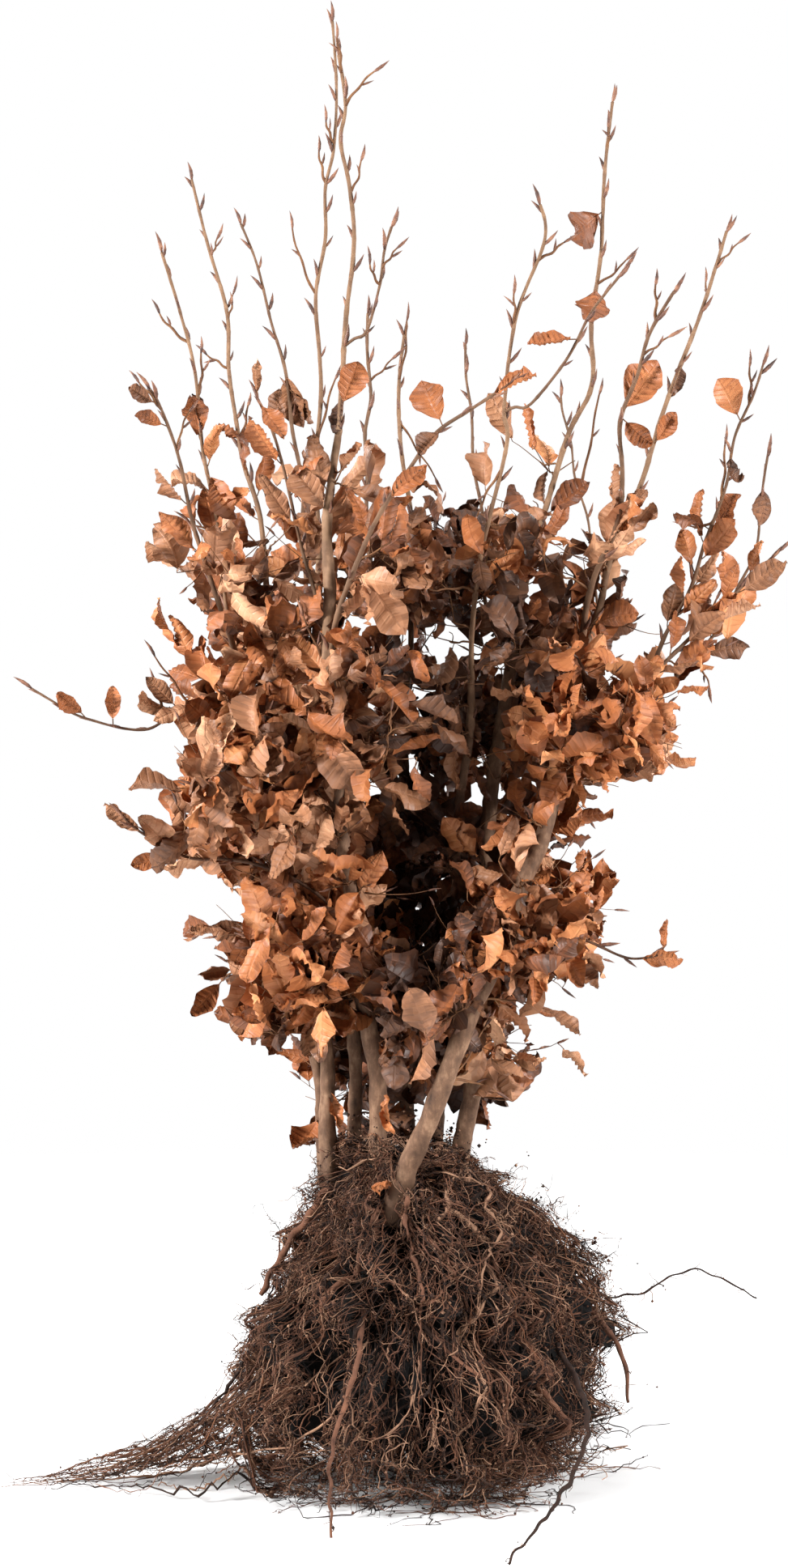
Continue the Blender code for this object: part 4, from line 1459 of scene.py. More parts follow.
        wood.add(*sweep(spurs, spur_radii, 4))
        wood.add(*sweep(stalks, np.full(stalks.shape[:2], self.stalk_girth), 3))
        wood.make(f"twigs_{label}", [self.twig_finish])
        ends = np.concatenate([twigs[:, -1], spurs[:, -1]])
        ways = np.concatenate([unit(paths[:, -1] - paths[:, -3]) for paths in (twigs, spurs)])
        shown = rng.uniform(0, 1, len(ends)) < self.bud_share
        self.buds.append(BudSet.drawn(ends[shown], ways[shown], (0.012, 0.020), (0.0013, 0.0018), rng))

    def limb_buds(self) -> None:
        """Set buds to either side in turn along the upper part of every stem and shoot."""
        for number, limb in enumerate(self.wood.limbs):
            rng = np.random.default_rng(SEED + 900 + number)
            places = limb.bud_places(SEED + 7 * number)
            places = places[places < self.lowest_bud]
            distance = lengths_along(limb.path)
            ring = np.searchsorted(distance, distance[-1] - places)
            along = headings(limb.path)[ring]
            side = square_to(rng.normal(size=(1, 3)) + 0 * along, along) * in_turn(len(ring))
            side = unit(side + rng.normal(0, 0.35, side.shape))
            base = limb.path[ring] + side * (limb.radii[ring] * 0.75)[:, None]
            size = rng.uniform(0.015, 0.025, len(ring))
            self.buds.append(BudSet(base, unit(along * 1.15 + side * 0.62), size, size * 0.105))
            tip = limb.path[-1 - self.wood.tip_rings]
            self.buds.append(BudSet(tip[None], unit(limb.path[-1:] - tip), np.array([0.023]),
                                    np.array([0.0024])))

    def build(self) -> None:
        """Grow every mass, then the strays, then set the buds of all of them."""
        for number, node in enumerate(MASS_NODES):
            self.build_mass(node, SEED + 101 * number)
        self.limb_buds()
        strays = Strays(self.wood, self.leaf_finishes, self.twig_finish)
        self.buds += strays.build()
        joined = BudSet(*(np.concatenate([getattr(buds, name) for buds in self.buds])
                          for name in ("base", "axis", "length", "girth")))
        draft = MeshDraft()
        joined.add_to(draft)
        draft.make("buds", [self.bud_finish])
        LOG.info("leaves in the masses: %d", self.leaf_count)


ORANGE, GREY = LeafFamily


@dataclass(frozen=True)
class HangingLeaf:
    """One leaf that still hangs on bare wood.

    It grows from its host at a distance from the host's tip. The angle is that of its midrib in the
    upright plane x-z, in degrees from +X. Width is a share of the length. Turn is how far the leaf is
    turned away from the front, in degrees.
    """

    host: str
    from_tip: float
    angle: float
    length: float
    width: float
    turn: float
    roll: float
    tint: float
    family: LeafFamily


@dataclass(frozen=True)
class SideTwig:
    """One side twig on bare wood, with its angles in the plane x-z at foot and tip, and its leaves."""

    host: str
    from_tip: float
    angle: float
    end_angle: float
    length: float
    leaves: int = 0


@dataclass(frozen=True)
class LeafyStretch:
    """A stretch of a limb where leaves stand up along the wood, to either side in turn.

    First and last are distances from the limb's tip, and tint is the middle step of the leaf colour.
    """

    host: str
    first: float
    last: float
    count: int
    tint: float = 5.0


LEAFY_STRETCHES = tuple(LeafyStretch(*row) for row in (
    ("shoot_right_outer", 0.205, 0.340, 9), ("shoot_right_outermost", 0.190, 0.310, 6, 4.2),
    ("shoot_right_low", 0.060, 0.210, 8, 4.8), ("shoot_right_inner", 0.275, 0.335, 4, 5.4),
    ("stem_6", 0.440, 0.620, 11, 5.4), ("stem_8", 0.520, 0.670, 8), ("stem_4", 0.500, 0.570, 4, 5.2),
    ("stem_4", 0.700, 0.970, 17, 5.2), ("stem_1", 0.230, 0.400, 7, 4.8), ("stem_2", 0.370, 0.450, 4, 4.4),
    ("shoot_left_front", 0.060, 0.160, 4, 4.6), ("shoot_left_back", 0.350, 0.460, 5, 3.6),
    ("shoot_left_outer", 0.150, 0.230, 4, 4.6), ("shoot_left_low", 0.195, 0.260, 5, 5.2),
    ("shoot_left_lowest", 0.080, 0.145, 5),
))
HANGING_LEAVES = tuple(HangingLeaf(*row) for row in (
    ("stem_8", 0.150, -140, 0.053, 0.90, 10, 0.3, 4.2, ORANGE),
    ("stem_8", 0.240, -100, 0.046, 0.88, 12, 0.4, 3.2, ORANGE),
    ("fork_right", 0.105, -175, 0.046, 0.50, 50, 0.7, 5.0, ORANGE),
    ("shoot_right_inner", 0.160, 55, 0.058, 0.72, 10, 0.5, 4.8, ORANGE),
    ("shoot_right_inner", 0.165, -45, 0.036, 0.70, 25, 0.6, 4.0, ORANGE),
    ("shoot_right_inner", 0.275, 45, 0.036, 0.62, 15, 0.6, 5.2, GREY),
    ("stem_6", 0.185, -110, 0.040, 0.45, 35, 1.0, 1.0, GREY),
    ("stem_6", 0.300, 55, 0.038, 0.62, 20, 0.7, 5.2, ORANGE),
    ("shoot_right_outer", 0.080, 120, 0.044, 0.74, 10, 0.4, 6.0, ORANGE),
    ("shoot_right_outermost", 0.050, -90, 0.048, 0.50, 25, 0.9, 1.2, GREY),
    ("shoot_right_outer", 0.205, 150, 0.041, 0.55, 30, 0.8, 3.2, ORANGE),
    ("shoot_right_outer", 0.115, -100, 0.053, 0.34, 20, 2.3, 1.0, GREY),
    ("shoot_centre_front", 0.100, 115, 0.045, 0.84, 5, 0.4, 5.2, ORANGE),
    ("shoot_centre_front", 0.100, -130, 0.032, 0.70, 30, 0.8, 2.0, GREY),
    ("shoot_centre_front", 0.045, 30, 0.047, 0.55, 35, 1.8, 5.8, ORANGE),
    ("stem_4", 0.430, 70, 0.046, 0.72, 10, 0.6, 5.4, ORANGE),
    ("stem_4", 0.405, -95, 0.042, 0.45, 35, 1.2, 0.8, GREY),
    ("shoot_left_back", 0.215, -75, 0.062, 0.52, 20, 0.9, 4.2, GREY),
    ("shoot_left_back", 0.235, -50, 0.047, 0.50, 40, 1.0, 2.0, GREY),
    ("shoot_left_front", 0.015, 95, 0.036, 0.34, 20, 1.3, 5.8, GREY),
    ("shoot_left_front", 0.015, -60, 0.046, 0.50, 25, 1.0, 5.2, ORANGE),
    ("shoot_centre_front", 0.200, 45, 0.049, 0.52, 15, 1.0, 6.4, ORANGE),
    ("stem_4", 0.545, 125, 0.051, 0.72, 15, 0.6, 5.6, GREY),
    ("stem_1", 0.260, -60, 0.059, 0.52, 15, 0.7, 4.6, ORANGE),
    ("shoot_left_outer", 0.035, 150, 0.030, 0.55, 25, 0.9, 3.0, GREY),
    ("shoot_left_outer", 0.060, 160, 0.030, 0.60, 25, 0.8, 4.2, ORANGE),
    ("stem_1", 0.215, 100, 0.030, 0.50, 40, 1.2, 1.0, GREY),
    ("shoot_left_low", 0.085, 130, 0.038, 0.62, 25, 1.2, 4.6, ORANGE),
    ("shoot_left_low", 0.115, 90, 0.037, 0.48, 10, 0.9, 5.4, ORANGE),
    ("shoot_left_low", 0.195, 135, 0.042, 0.52, 15, 0.9, 4.8, GREY),
    ("shoot_left_lowest", 0.045, 140, 0.046, 0.42, 15, 0.9, 4.6, GREY),
    ("shoot_right_lowest", 0.045, 5, 0.045, 0.50, 20, 0.9, 6.0, ORANGE),
    ("shoot_right_lowest", 0.015, 85, 0.030, 0.36, 35, 1.2, 5.0, ORANGE),
    ("stem_8", 1.105, -75, 0.050, 0.36, 30, 1.8, 5.4, ORANGE),
    ("stem_8", 1.030, -30, 0.046, 0.55, 20, 0.9, 4.8, ORANGE),
    ("stem_8", 1.060, -48, 0.056, 0.62, 15, 0.8, 4.4, ORANGE),
    ("stem_1", 0.990, -115, 0.054, 0.70, 20, 1.0, 5.6, ORANGE),
    ("stem_1", 1.030, -20, 0.030, 0.85, 10, 0.5, 6.4, GREY),
    ("stem_4", 1.130, -30, 0.040, 0.60, 25, 1.1, 3.6, ORANGE),
    ("stem_4", 1.175, -70, 0.058, 0.34, 10, 2.2, 5.2, ORANGE),
    ("stem_5", 0.880, -60, 0.052, 0.70, 15, 0.8, 4.2, ORANGE),
    ("stem_5", 0.925, -110, 0.048, 0.50, 25, 1.4, 4.8, ORANGE),
    ("stem_2", 1.100, -75, 0.040, 0.42, 25, 1.6, 5.0, ORANGE),
    ("stem_6", 1.205, 150, 0.036, 0.60, 20, 1.5, 5.6, ORANGE),
    ("stem_8", 1.165, 165, 0.038, 0.55, 25, 1.2, 4.8, ORANGE),
))
SIDE_TWIGS = tuple(SideTwig(*row) for row in (
    ("stem_4", 0.080, 60, 35, 0.050), ("stem_4", 0.040, 95, 100, 0.038), ("stem_3", 0.325, 120, 100, 0.077),
    ("stem_3", 0.200, 110, 95, 0.036), ("stem_3", 0.155, 125, 100, 0.026), ("stem_4", 0.180, 60, 85, 0.038),
    ("fork_centre", 0.060, 55, 50, 0.026), ("fork_centre", 0.080, 140, 100, 0.026),
    ("stem_1", 0.120, 150, 120, 0.046), ("stem_1", 0.180, 75, 95, 0.047),
    ("stem_2", 0.260, 150, 145, 0.030), ("stem_2", 0.120, 70, 80, 0.026), ("stem_2", 0.200, 75, 85, 0.030),
    ("stem_7", 0.080, 30, 40, 0.033), ("stem_7", 0.150, 90, 95, 0.032),
    ("shoot_right_inner", 0.095, 35, 35, 0.033), ("shoot_right_inner", 0.055, 90, 90, 0.039),
    ("stem_6", 0.065, 45, 45, 0.036), ("stem_6", 0.115, 65, 95, 0.035), ("stem_8", 0.240, 20, 50, 0.046),
    ("stem_8", 0.075, 75, 100, 0.026), ("shoot_left_outer", 0.040, 125, 135, 0.038),
    ("shoot_left_outer", 0.090, 95, 55, 0.048), ("stem_1", 0.330, 165, 150, 0.035),
    ("shoot_left_low", 0.205, 125, 125, 0.068), ("shoot_left_low", 0.175, 110, 110, 0.036),
    ("shoot_right_outer", 0.170, 85, 90, 0.059), ("shoot_right_outer", 0.060, 85, 95, 0.039),
    ("shoot_right_outer", 0.190, -120, -200, 0.026), ("shoot_right_low", 0.140, 45, 75, 0.035),
    ("shoot_right_outermost", 0.270, -35, -80, 0.039), ("stem_5", 0.080, 75, 90, 0.071),
    ("stem_5", 0.130, -55, -60, 0.080), ("shoot_centre_back", 0.100, 40, 50, 0.036),
    ("shoot_right_back", 0.145, 80, 80, 0.120), ("stem_2", 0.350, 70, 85, 0.045),
    ("stem_3", 0.505, 80, 70, 0.085), ("stem_7", 0.305, -125, -110, 0.058),
    ("stem_4", 0.735, 105, 115, 0.085), ("stem_8", 0.915, 40, 35, 0.100), ("stem_4", 1.110, 40, 25, 0.056),
    ("stem_3", 1.120, 105, 70, 0.074), ("stem_8", 1.140, 70, 70, 0.058), ("stem_6", 1.075, 10, -35, 0.070),
    ("stem_6", 1.090, 50, 62, 0.090), ("stem_1", 0.800, 160, 185, 0.110, 6),
    ("stem_1", 0.545, 140, 125, 0.115, 5), ("stem_2", 0.960, 175, 205, 0.105, 5),
    ("stem_8", 0.930, 20, 40, 0.105, 6), ("stem_6", 0.980, 10, -20, 0.070, 4),
    ("stem_1", 0.660, 165, 150, 0.100, 5),
))


def column(rows: tuple, name: str) -> Array:
    """Return one field of every row of a table."""
    return np.array([getattr(row, name) for row in rows])


def upright(angles: Array) -> Array:
    """Return unit vectors in the plane x-z for angles in degrees."""
    turned = np.radians(angles)
    return np.stack([np.cos(turned), 0 * turned, np.sin(turned)], axis=-1)


@dataclass
class Strays:
    """Single leaves and short side twigs on the bare wood."""

    wood: Wood
    leaf_finishes: list[bpy.types.Material]
    twig_finish: bpy.types.Material
    twig_rings: int = 13
    twig_girth: Span = (0.0014, 0.0019)
    stalk_girth: float = 0.0007
    stalk_length: float = 0.008
    leaf_length: Span = (0.040, 0.062)
    leaf_width: Span = (0.44, 0.62)
    tightly_rolled_share: float = 0.45
    grey_share: float = 0.4

    def places(self, growths: tuple) -> Array:
        """Return where the given leaves or twigs leave their hosts."""
        found = []
        for growth in growths:
            limb = self.wood.limb(growth.host)
            found.append(limb.path[int(np.argmin(np.abs(limb.from_tip - growth.from_tip)))])
        return np.array(found)

    def hanging(self) -> tuple[LeafSet, Array]:
        """Make the single leaves.

        Formula: the midrib lies near the plane x-z at its angle, and the face is turned round it from
        the front by the leaf's turn, to either side by chance.

        Returns:
            The leaves and their stalks' paths.
        """
        rng = np.random.default_rng(SEED + 700)
        rows, count = HANGING_LEAVES, len(HANGING_LEAVES)
        axis = unit(upright(column(rows, "angle")) + 0.12 * FRONT)
        turn = (np.radians(column(rows, "turn")) * rng.choice([-1.0, 1.0], count))[:, None]
        front = square_to(FRONT + 0 * axis, axis)
        face = front * np.cos(turn) + np.cross(axis, front) * np.sin(turn)
        length = column(rows, "length")
        foot = self.places(rows)
        base = foot + axis * self.stalk_length + 0.003 * FRONT
        grey = (column(rows, "family") == GREY).astype(int)
        leaves = LeafSet(base, axis, face, length, length * column(rows, "width"), column(rows, "roll"),
                         rng.normal(0.3, 0.6, count), rng.normal(0, 0.5, count), column(rows, "tint"),
                         grey, SEED + 701, rows=16, across=8)
        return leaves, self.stalks(foot, axis, base, axis)

    def stalks(self, foot: Array, leave: Array, base: Array, axis: Array) -> Array:
        """Return stalks that leave the wood in one direction and arrive along the midrib."""
        return hermite(foot, leave * 0.006, base + axis * 0.002, axis * 0.008, 5)

    def standing(self, paths: Array) -> tuple[LeafSet, Array]:
        """Make the leaves of the leafy stretches and of the side twigs.

        Formula: each leaf's midrib is the limb's heading plus nearly half as much to one side, with some
        chance, so that it stands up along the wood.

        Args:
            paths: Paths of the side twigs.

        Returns:
            The leaves and their stalks' paths.
        """
        rng = np.random.default_rng(SEED + 710)
        found = []
        for stretch in LEAFY_STRETCHES:
            limb = self.wood.limb(stretch.host)
            wanted = np.linspace(stretch.first, stretch.last, stretch.count)
            ring = np.argmin(np.abs(limb.from_tip[None] - wanted[:, None]), axis=1)
            found.append((limb.path[ring], headings(limb.path)[ring], np.full(len(ring), stretch.tint)))
        for twig, path in zip(SIDE_TWIGS, paths):
            ring = np.linspace(4, len(path) - 1, twig.leaves).astype(int)
            found.append((path[ring], headings(path)[ring], np.full(len(ring), 5.0)))
        foot, heading, tint = (np.concatenate(parts) for parts in zip(*found))
        count = len(foot)
        side = square_to(in_turn(count) * [1.0, 0.0, 0.0] + rng.normal(size=heading.shape) * [0.3, 0.6, 0.3],
                         heading)
        axis = unit(heading + 0.45 * side + rng.normal(0.0, 0.22, heading.shape) + 0.08 * FRONT)
        face = square_to(FRONT + rng.normal(0.0, 0.6, axis.shape), axis)
        base = foot + axis * self.stalk_length + 0.003 * side
        length = rng.uniform(*self.leaf_length, count)
        tight = rng.uniform(0, 1, count) < self.tightly_rolled_share
        roll = np.where(tight, rng.uniform(1.2, 2.4, count), rng.uniform(0.3, 1.1, count))
        roll *= rng.choice([-1.0, 1.0], count)
        leaves = LeafSet(base, axis, face, length, length * rng.uniform(*self.leaf_width, count), roll,
                         rng.normal(0.0, 0.7, count), rng.normal(0, 0.8, count),
                         tint + rng.normal(0, 1.0, count),
                         (rng.uniform(0, 1, count) < self.grey_share).astype(int), SEED + 711,
                         rows=16, across=8)
        return leaves, self.stalks(foot, side, base, axis)

    def twigs(self) -> tuple[Array, Array]:
        """Return the side twigs' paths and radii, kinked at the buds and swollen there."""
        rng = np.random.default_rng(SEED + 702)
        foot = self.places(SIDE_TWIGS)
        length = column(SIDE_TWIGS, "length")[:, None]
        lean = rng.normal(0.0, 0.35, (len(foot), 1)) * [0.0, 1.0, 0.0]
        leave = unit(upright(column(SIDE_TWIGS, "angle")) + lean)
        arrive = unit(upright(column(SIDE_TWIGS, "end_angle")) + 0.5 * lean)
        end = foot + unit(leave + arrive) * length
        paths = hermite(foot, leave * length, end, arrive * length, self.twig_rings)
        share = np.linspace(0.0, 1.0, self.twig_rings)
        kink = np.sin(share * 9.0) * np.sin(share * math.pi) * 0.0014
        paths = paths + kink[None, :, None] * np.cross(leave, [0.0, 1.0, 0.0])[:, None]
        thick = rng.uniform(*self.twig_girth, (len(foot), 1)) * (1.0 - 0.42 * share)
        return paths, thick * (1.0 + 0.14 * (np.arange(self.twig_rings) % 4 == 2))

    def build(self) -> list[BudSet]:
        """Make the single leaves in one piece and their stalks with the side twigs in another.

        Returns:
            The buds at the side twigs' tips and at their middles.
        """
        hanging, stalks = self.hanging()
        paths, radii = self.twigs()
        standing, more_stalks = self.standing(paths)
        stalks = np.concatenate([stalks, more_stalks])
        draft = MeshDraft()
        hanging.add_to(draft)
        standing.add_to(draft)
        draft.make("single_leaves", self.leaf_finishes, cell_map="veins")
        twigs = MeshDraft()
        twigs.add(*sweep(paths, radii, 7))
        twigs.add(*sweep(stalks, np.full(stalks.shape[:2], self.stalk_girth), 5))
        twigs.make("side_twigs", [self.twig_finish])
        rng = np.random.default_rng(SEED + 703)
        tips = BudSet.drawn(paths[:, -1], unit(paths[:, -1] - paths[:, -3]), (0.017, 0.024),
                            (0.0018, 0.0023), rng)
        middle = self.twig_rings // 2 + 1
        along = headings(paths)[:, middle]
        side = square_to(rng.normal(size=along.shape) * [1.0, 0.4, 0.6], along)
        return [tips, BudSet.drawn(paths[:, middle], unit(along + 0.7 * side), (0.012, 0.018),
                                   (0.0013, 0.0017), rng)]


# ---- Roots ----


Shares = tuple[float, float, float, float]


@dataclass(frozen=True)
class StrandRule:
    """How one kind of root lies over the root mass.

    Heights are where the roots start, and depths are how far under the outline they keep. Sway is the
    chance change of heading at each ring, fall is the pull back to the general flow, and spread is how
    far the first heading strays from it. Shades are the shares of the root finishes, dark ones first.
    """

    name: str
    count: int
    rings: int
    sides: int
    length: Span
    girth: Span
    height: Span
    depth: Span
    sway: float
    fall: float
    spread: float
    shades: Shares
    crinkle: float = 0.0009
    taper: float = 0.45


STRANDS = (
    StrandRule("root_weave", 3000, 12, 3, (0.036, 0.100), (0.00036, 0.00068), (0.030, 0.388),
               (-0.007, 0.018), 0.66, 0.07, 1.7, (0.34, 0.46, 0.17, 0.03), 0.0016),
    StrandRule("root_drapes", 520, 24, 3, (0.12, 0.32), (0.0006, 0.0012), (0.10, 0.39),
               (-0.006, 0.012), 0.40, 0.12, 0.80, (0.26, 0.48, 0.22, 0.04), 0.0015),
    StrandRule("root_bundle", 50, 44, 7, (0.16, 0.36), (0.0016, 0.0044), (0.14, 0.39),
               (0.001, 0.014), 0.30, 0.12, 0.66, (0.34, 0.52, 0.09, 0.05), 0.0008, 0.28),
    StrandRule("root_inner", 520, 12, 3, (0.08, 0.17), (0.0005, 0.0014), (0.06, 0.16),
               (0.018, 0.150), 0.34, 0.22, 0.6, (0.60, 0.32, 0.08, 0.0)),
)


@dataclass
class RootShape:
    """Outline of the root mass: its reach from an upright axis by turn and height, with soft lumps.

    Shoulder, waist and tuck are the depths of a swell on the right, a hollow under the collar on the
    left, and the draw-in toward the floor. Runners are roots that run out over the floor at the runner
    sole. The others end at soles that rise by chance from the lowest one, and have a lean of their own.
    """

    axis: Span = (-0.010, 0.0)
    bottom: float = 0.004
    top: float = 0.392
    turns: int = 96
    levels: int = 56
    shoulder: float = 0.022
    waist: float = 0.020
    tuck: float = 0.050
    lump_size: float = 0.0110
    knob_size: float = 0.0070
    inset: float = 0.004
    runner_share: float = 0.10
    runner_sole: float = 0.0025
    lowest_sole: float = 0.005
    sole_rise: float = 0.026
    own_lean: float = 0.42
    sole_stride: float = 0.15
    depth_sway: float = 0.0018
    wave_size: float = 0.0016
    wave_step: float = 0.55
    reach: Array = field(default_factory=lambda: np.zeros((0, 0)))
    lumps: Ripple = field(default_factory=lambda: Ripple(SEED + 31, 0.070))
    swirl: Ripple = field(default_factory=lambda: Ripple(SEED + 32, 0.110))
    knobs: Ripple = field(default_factory=lambda: Ripple(SEED + 33, 0.034))
    clumps: Ripple = field(default_factory=lambda: Ripple(SEED + 34, 0.052))

    def read(self) -> None:
        """Measure the root ball's reach by rays from outside to its axis."""
        tree = read_tree("root_ball")
        self.reach = np.zeros((self.levels, self.turns))
        for row, height in enumerate(np.linspace(self.bottom, self.top, self.levels)):
            centre = Vector((*self.axis, height))
            for column_number, turn in enumerate(even_turns(self.turns)):
                way = Vector((math.cos(turn), math.sin(turn), 0.0))
                hit = tree.ray_cast(centre + way * 0.6, -way)[0]
                self.reach[row, column_number] = (hit - centre).length if hit else 0.05

    def radius(self, turn: Array, height: Array) -> Array:
        """Return the reach at turns and heights, blended between the measured places."""
        row = np.clip((height - self.bottom) / (self.top - self.bottom), 0.0, 1.0) * (self.levels - 1)
        place = (turn / TURN) % 1.0 * self.turns
        low = np.minimum(row.astype(int), self.levels - 2)
        left = place.astype(int) % self.turns
        right = (left + 1) % self.turns
        up, aside = row - low, place - np.floor(place)
        near = self.reach[low, left] * (1 - aside) + self.reach[low, right] * aside
        far = self.reach[low + 1, left] * (1 - aside) + self.reach[low + 1, right] * aside
        return near * (1 - up) + far * up

    def place(self, turn: Array, height: Array, depth: Array) -> Array:
        """Work out points under the lumpy outline.

        Formula: to the measured reach come a swell at the right shoulder and soft lumps, and from it go
        a hollow on the left under the collar and an uneven tuck toward the floor.

        Args:
            turn: Turn of each point round the axis.
            height: Height of each point.
            depth: Depth of each point under the outline.

        Returns:
            The points.
        """
        reach = self.radius(turn, height)
        flat = polar(turn, reach, height, self.axis)
        from_right, from_left = np.angle(np.exp(1j * turn)), np.angle(-np.exp(1j * turn))
        reach = reach + self.shoulder * np.exp(-(from_right / 0.8) ** 2 - ((height - 0.265) / 0.055) ** 2)
        collar = np.clip((height - 0.19) / 0.06, 0.0, 1.0)
        reach = reach - self.waist * np.exp(-(from_left / 0.8) ** 2) * collar
        under = np.clip(1.0 - height / 0.085, 0.0, 1.0) ** 1.4
        reach = reach - self.tuck * under * np.clip(0.75 + 0.8 * self.clumps(flat * [1, 1, 0]), 0.1, 1.6)
        reach = reach + self.lump_size * self.lumps(flat) + self.knob_size * self.knobs(flat)
        reach = reach - self.inset - depth
        return polar(turn, np.maximum(reach, 0.004), height, self.axis)

    def under_collar(self, points: Array) -> Array:
        """Press points that stand over the collar's sloping top down under it.

        Formula: the top falls with x from the left to the right and has soft lumps, and what stands over
        it by h comes down to stand over it by two fifths of h.

        Args:
            points: Points anywhere on the root mass.

        Returns:
            The points, pressed down where they stood too high.
        """
        points = points.copy()
        top = np.interp(points[..., 0], (-0.09, 0.0, 0.09), (0.378, 0.360, 0.340))
        top = top + 0.006 * self.lumps(points) + 0.004 * self.knobs(points)
        points[..., 2] = np.where(points[..., 2] > top, top + 0.4 * (points[..., 2] - top), points[..., 2])
        return points

    def flow(self, turn: Array, height: Array) -> Array:
        """Return the heading that roots tend to: down, toward the left spread, with slow swirls."""
        lean = 0.95 * np.sin(turn) * np.maximum(0.0, -np.cos(turn))
        lean = lean * np.clip((0.36 - height) / 0.12, 0.2, 1.0)
        return -0.5 * math.pi + lean + 0.20 * self.swirl(polar(turn, 0.18, height))

    def hang(self, height: Array) -> Array:
        """Return how straight roots hang: not at all above 0.26 m, fully below 0.14 m."""
        return np.clip((0.26 - height) / 0.12, 0.0, 1.0)

    def starts(self, rule: StrandRule, rng: Chance) -> tuple[Array, Array]:
        """Choose where roots start: in clumps, with dark hollows between, more so lower down.

        Args:
            rule: The kind of root.
            rng: Source of chance.

        Returns:
            The turns and the heights.
        """
        turn = rng.uniform(0.0, TURN, 3 * rule.count)
        height = rng.uniform(*rule.height, 3 * rule.count)
        patch = self.clumps(polar(turn, self.radius(turn, height), height * 0.7))
        hollow = 0.35 + 0.60 * np.clip((0.26 - height) / 0.14, 0.0, 1.0)
        hollow = hollow * np.clip(0.45 - 1.3 * patch, 0.0, 1.0)
        chosen = np.argsort(rng.uniform(0.0, 1.0, len(turn)) / (1.0 - hollow))[:rule.count]
        return turn[chosen], height[chosen]

    def walk(self, rule: StrandRule, rng: Chance) -> Array:
        """Lay all roots of one kind, ring by ring.

        Formula: at each ring the heading changes by chance and is pulled to the flow. The root moves by
        one stride along its heading on the outline, and its depth swings on a slow wave. Some roots run
        out over the floor. The others end at a sole height of their own.

        Args:
            rule: The kind of root.
            rng: Source of chance.

        Returns:
            Paths of shape (count, rings, 3).
        """
        count = rule.count
        turn, height = self.starts(rule, rng)
        keep = rng.uniform(*rule.depth, count)
        depth = keep + rng.uniform(0.0, 0.012, count)
        stride = rng.uniform(*rule.length, count) / (rule.rings - 1)
        stray = rng.normal(0.0, rule.spread, count)
        heading = self.flow(turn, height) + stray * (1.0 - 0.6 * self.hang(height))
        runs = rng.uniform(0, 1, count) < self.runner_share
        sole = np.where(runs, self.runner_sole, self.lowest_sole + rng.exponential(self.sole_rise, count))
        wave = rng.uniform(0.0, TURN, count)
        own = rng.normal(0.0, self.own_lean, count)
        paths = np.empty((count, rule.rings, 3))
        for ring in range(rule.rings):
            paths[:, ring] = self.place(turn, height, depth)
            hang = self.hang(height)
            heading += rng.normal(0.0, rule.sway, count) * (1.0 - 0.35 * hang)
            heading += rule.fall * (1.0 + 2.0 * hang) * (self.flow(turn, height) + own - heading)
            turn = turn + np.cos(heading) * stride / np.maximum(self.radius(turn, height) - depth, 0.03)
            height = np.minimum(height + np.sin(heading) * stride, self.top)
            under = np.maximum(0.0, sole - height)
            height = height + under
            stride = np.where((under > 0) & ~runs, self.sole_stride * stride, stride)
            outward = 0.8 * under * runs
            keep = keep - outward
            depth = depth + rng.normal(0.0, self.depth_sway, count) + 0.2 * (keep - depth) - outward
            depth = depth + self.wave_size * np.sin(wave + ring * self.wave_step)
        return paths + rng.normal(0.0, rule.crinkle, paths.shape)


def wander(start: Array, way: Array, length: Array, rings: int, curl: float, flat: float,
           rng: Chance) -> Array:
    """Let thin roots wander off into the air or over the floor.

    Formula: at each ring the way turns by a chance vector times the curl, its upright part is multiplied
    by one less flat, and the root goes on by an even share of its length.

    Args:
        start: Start points, shape (n, 3).
        way: First directions, shape (n, 3).
        length: Lengths.
        rings: Rings along each root.
        curl: Strength of the turns.
        flat: How strongly the way is pressed level.
        rng: Source of chance.

    Returns:
        Paths of shape (n, rings, 3).
    """
    paths = np.empty((len(start), rings, 3))
    place, way = start, unit(way)
    for ring in range(rings):
        paths[:, ring] = place
        way = unit(way + curl * rng.normal(size=way.shape))
        way[:, 2] *= 1.0 - flat
        place = place + way * (length / (rings - 1))[:, None]
    return paths


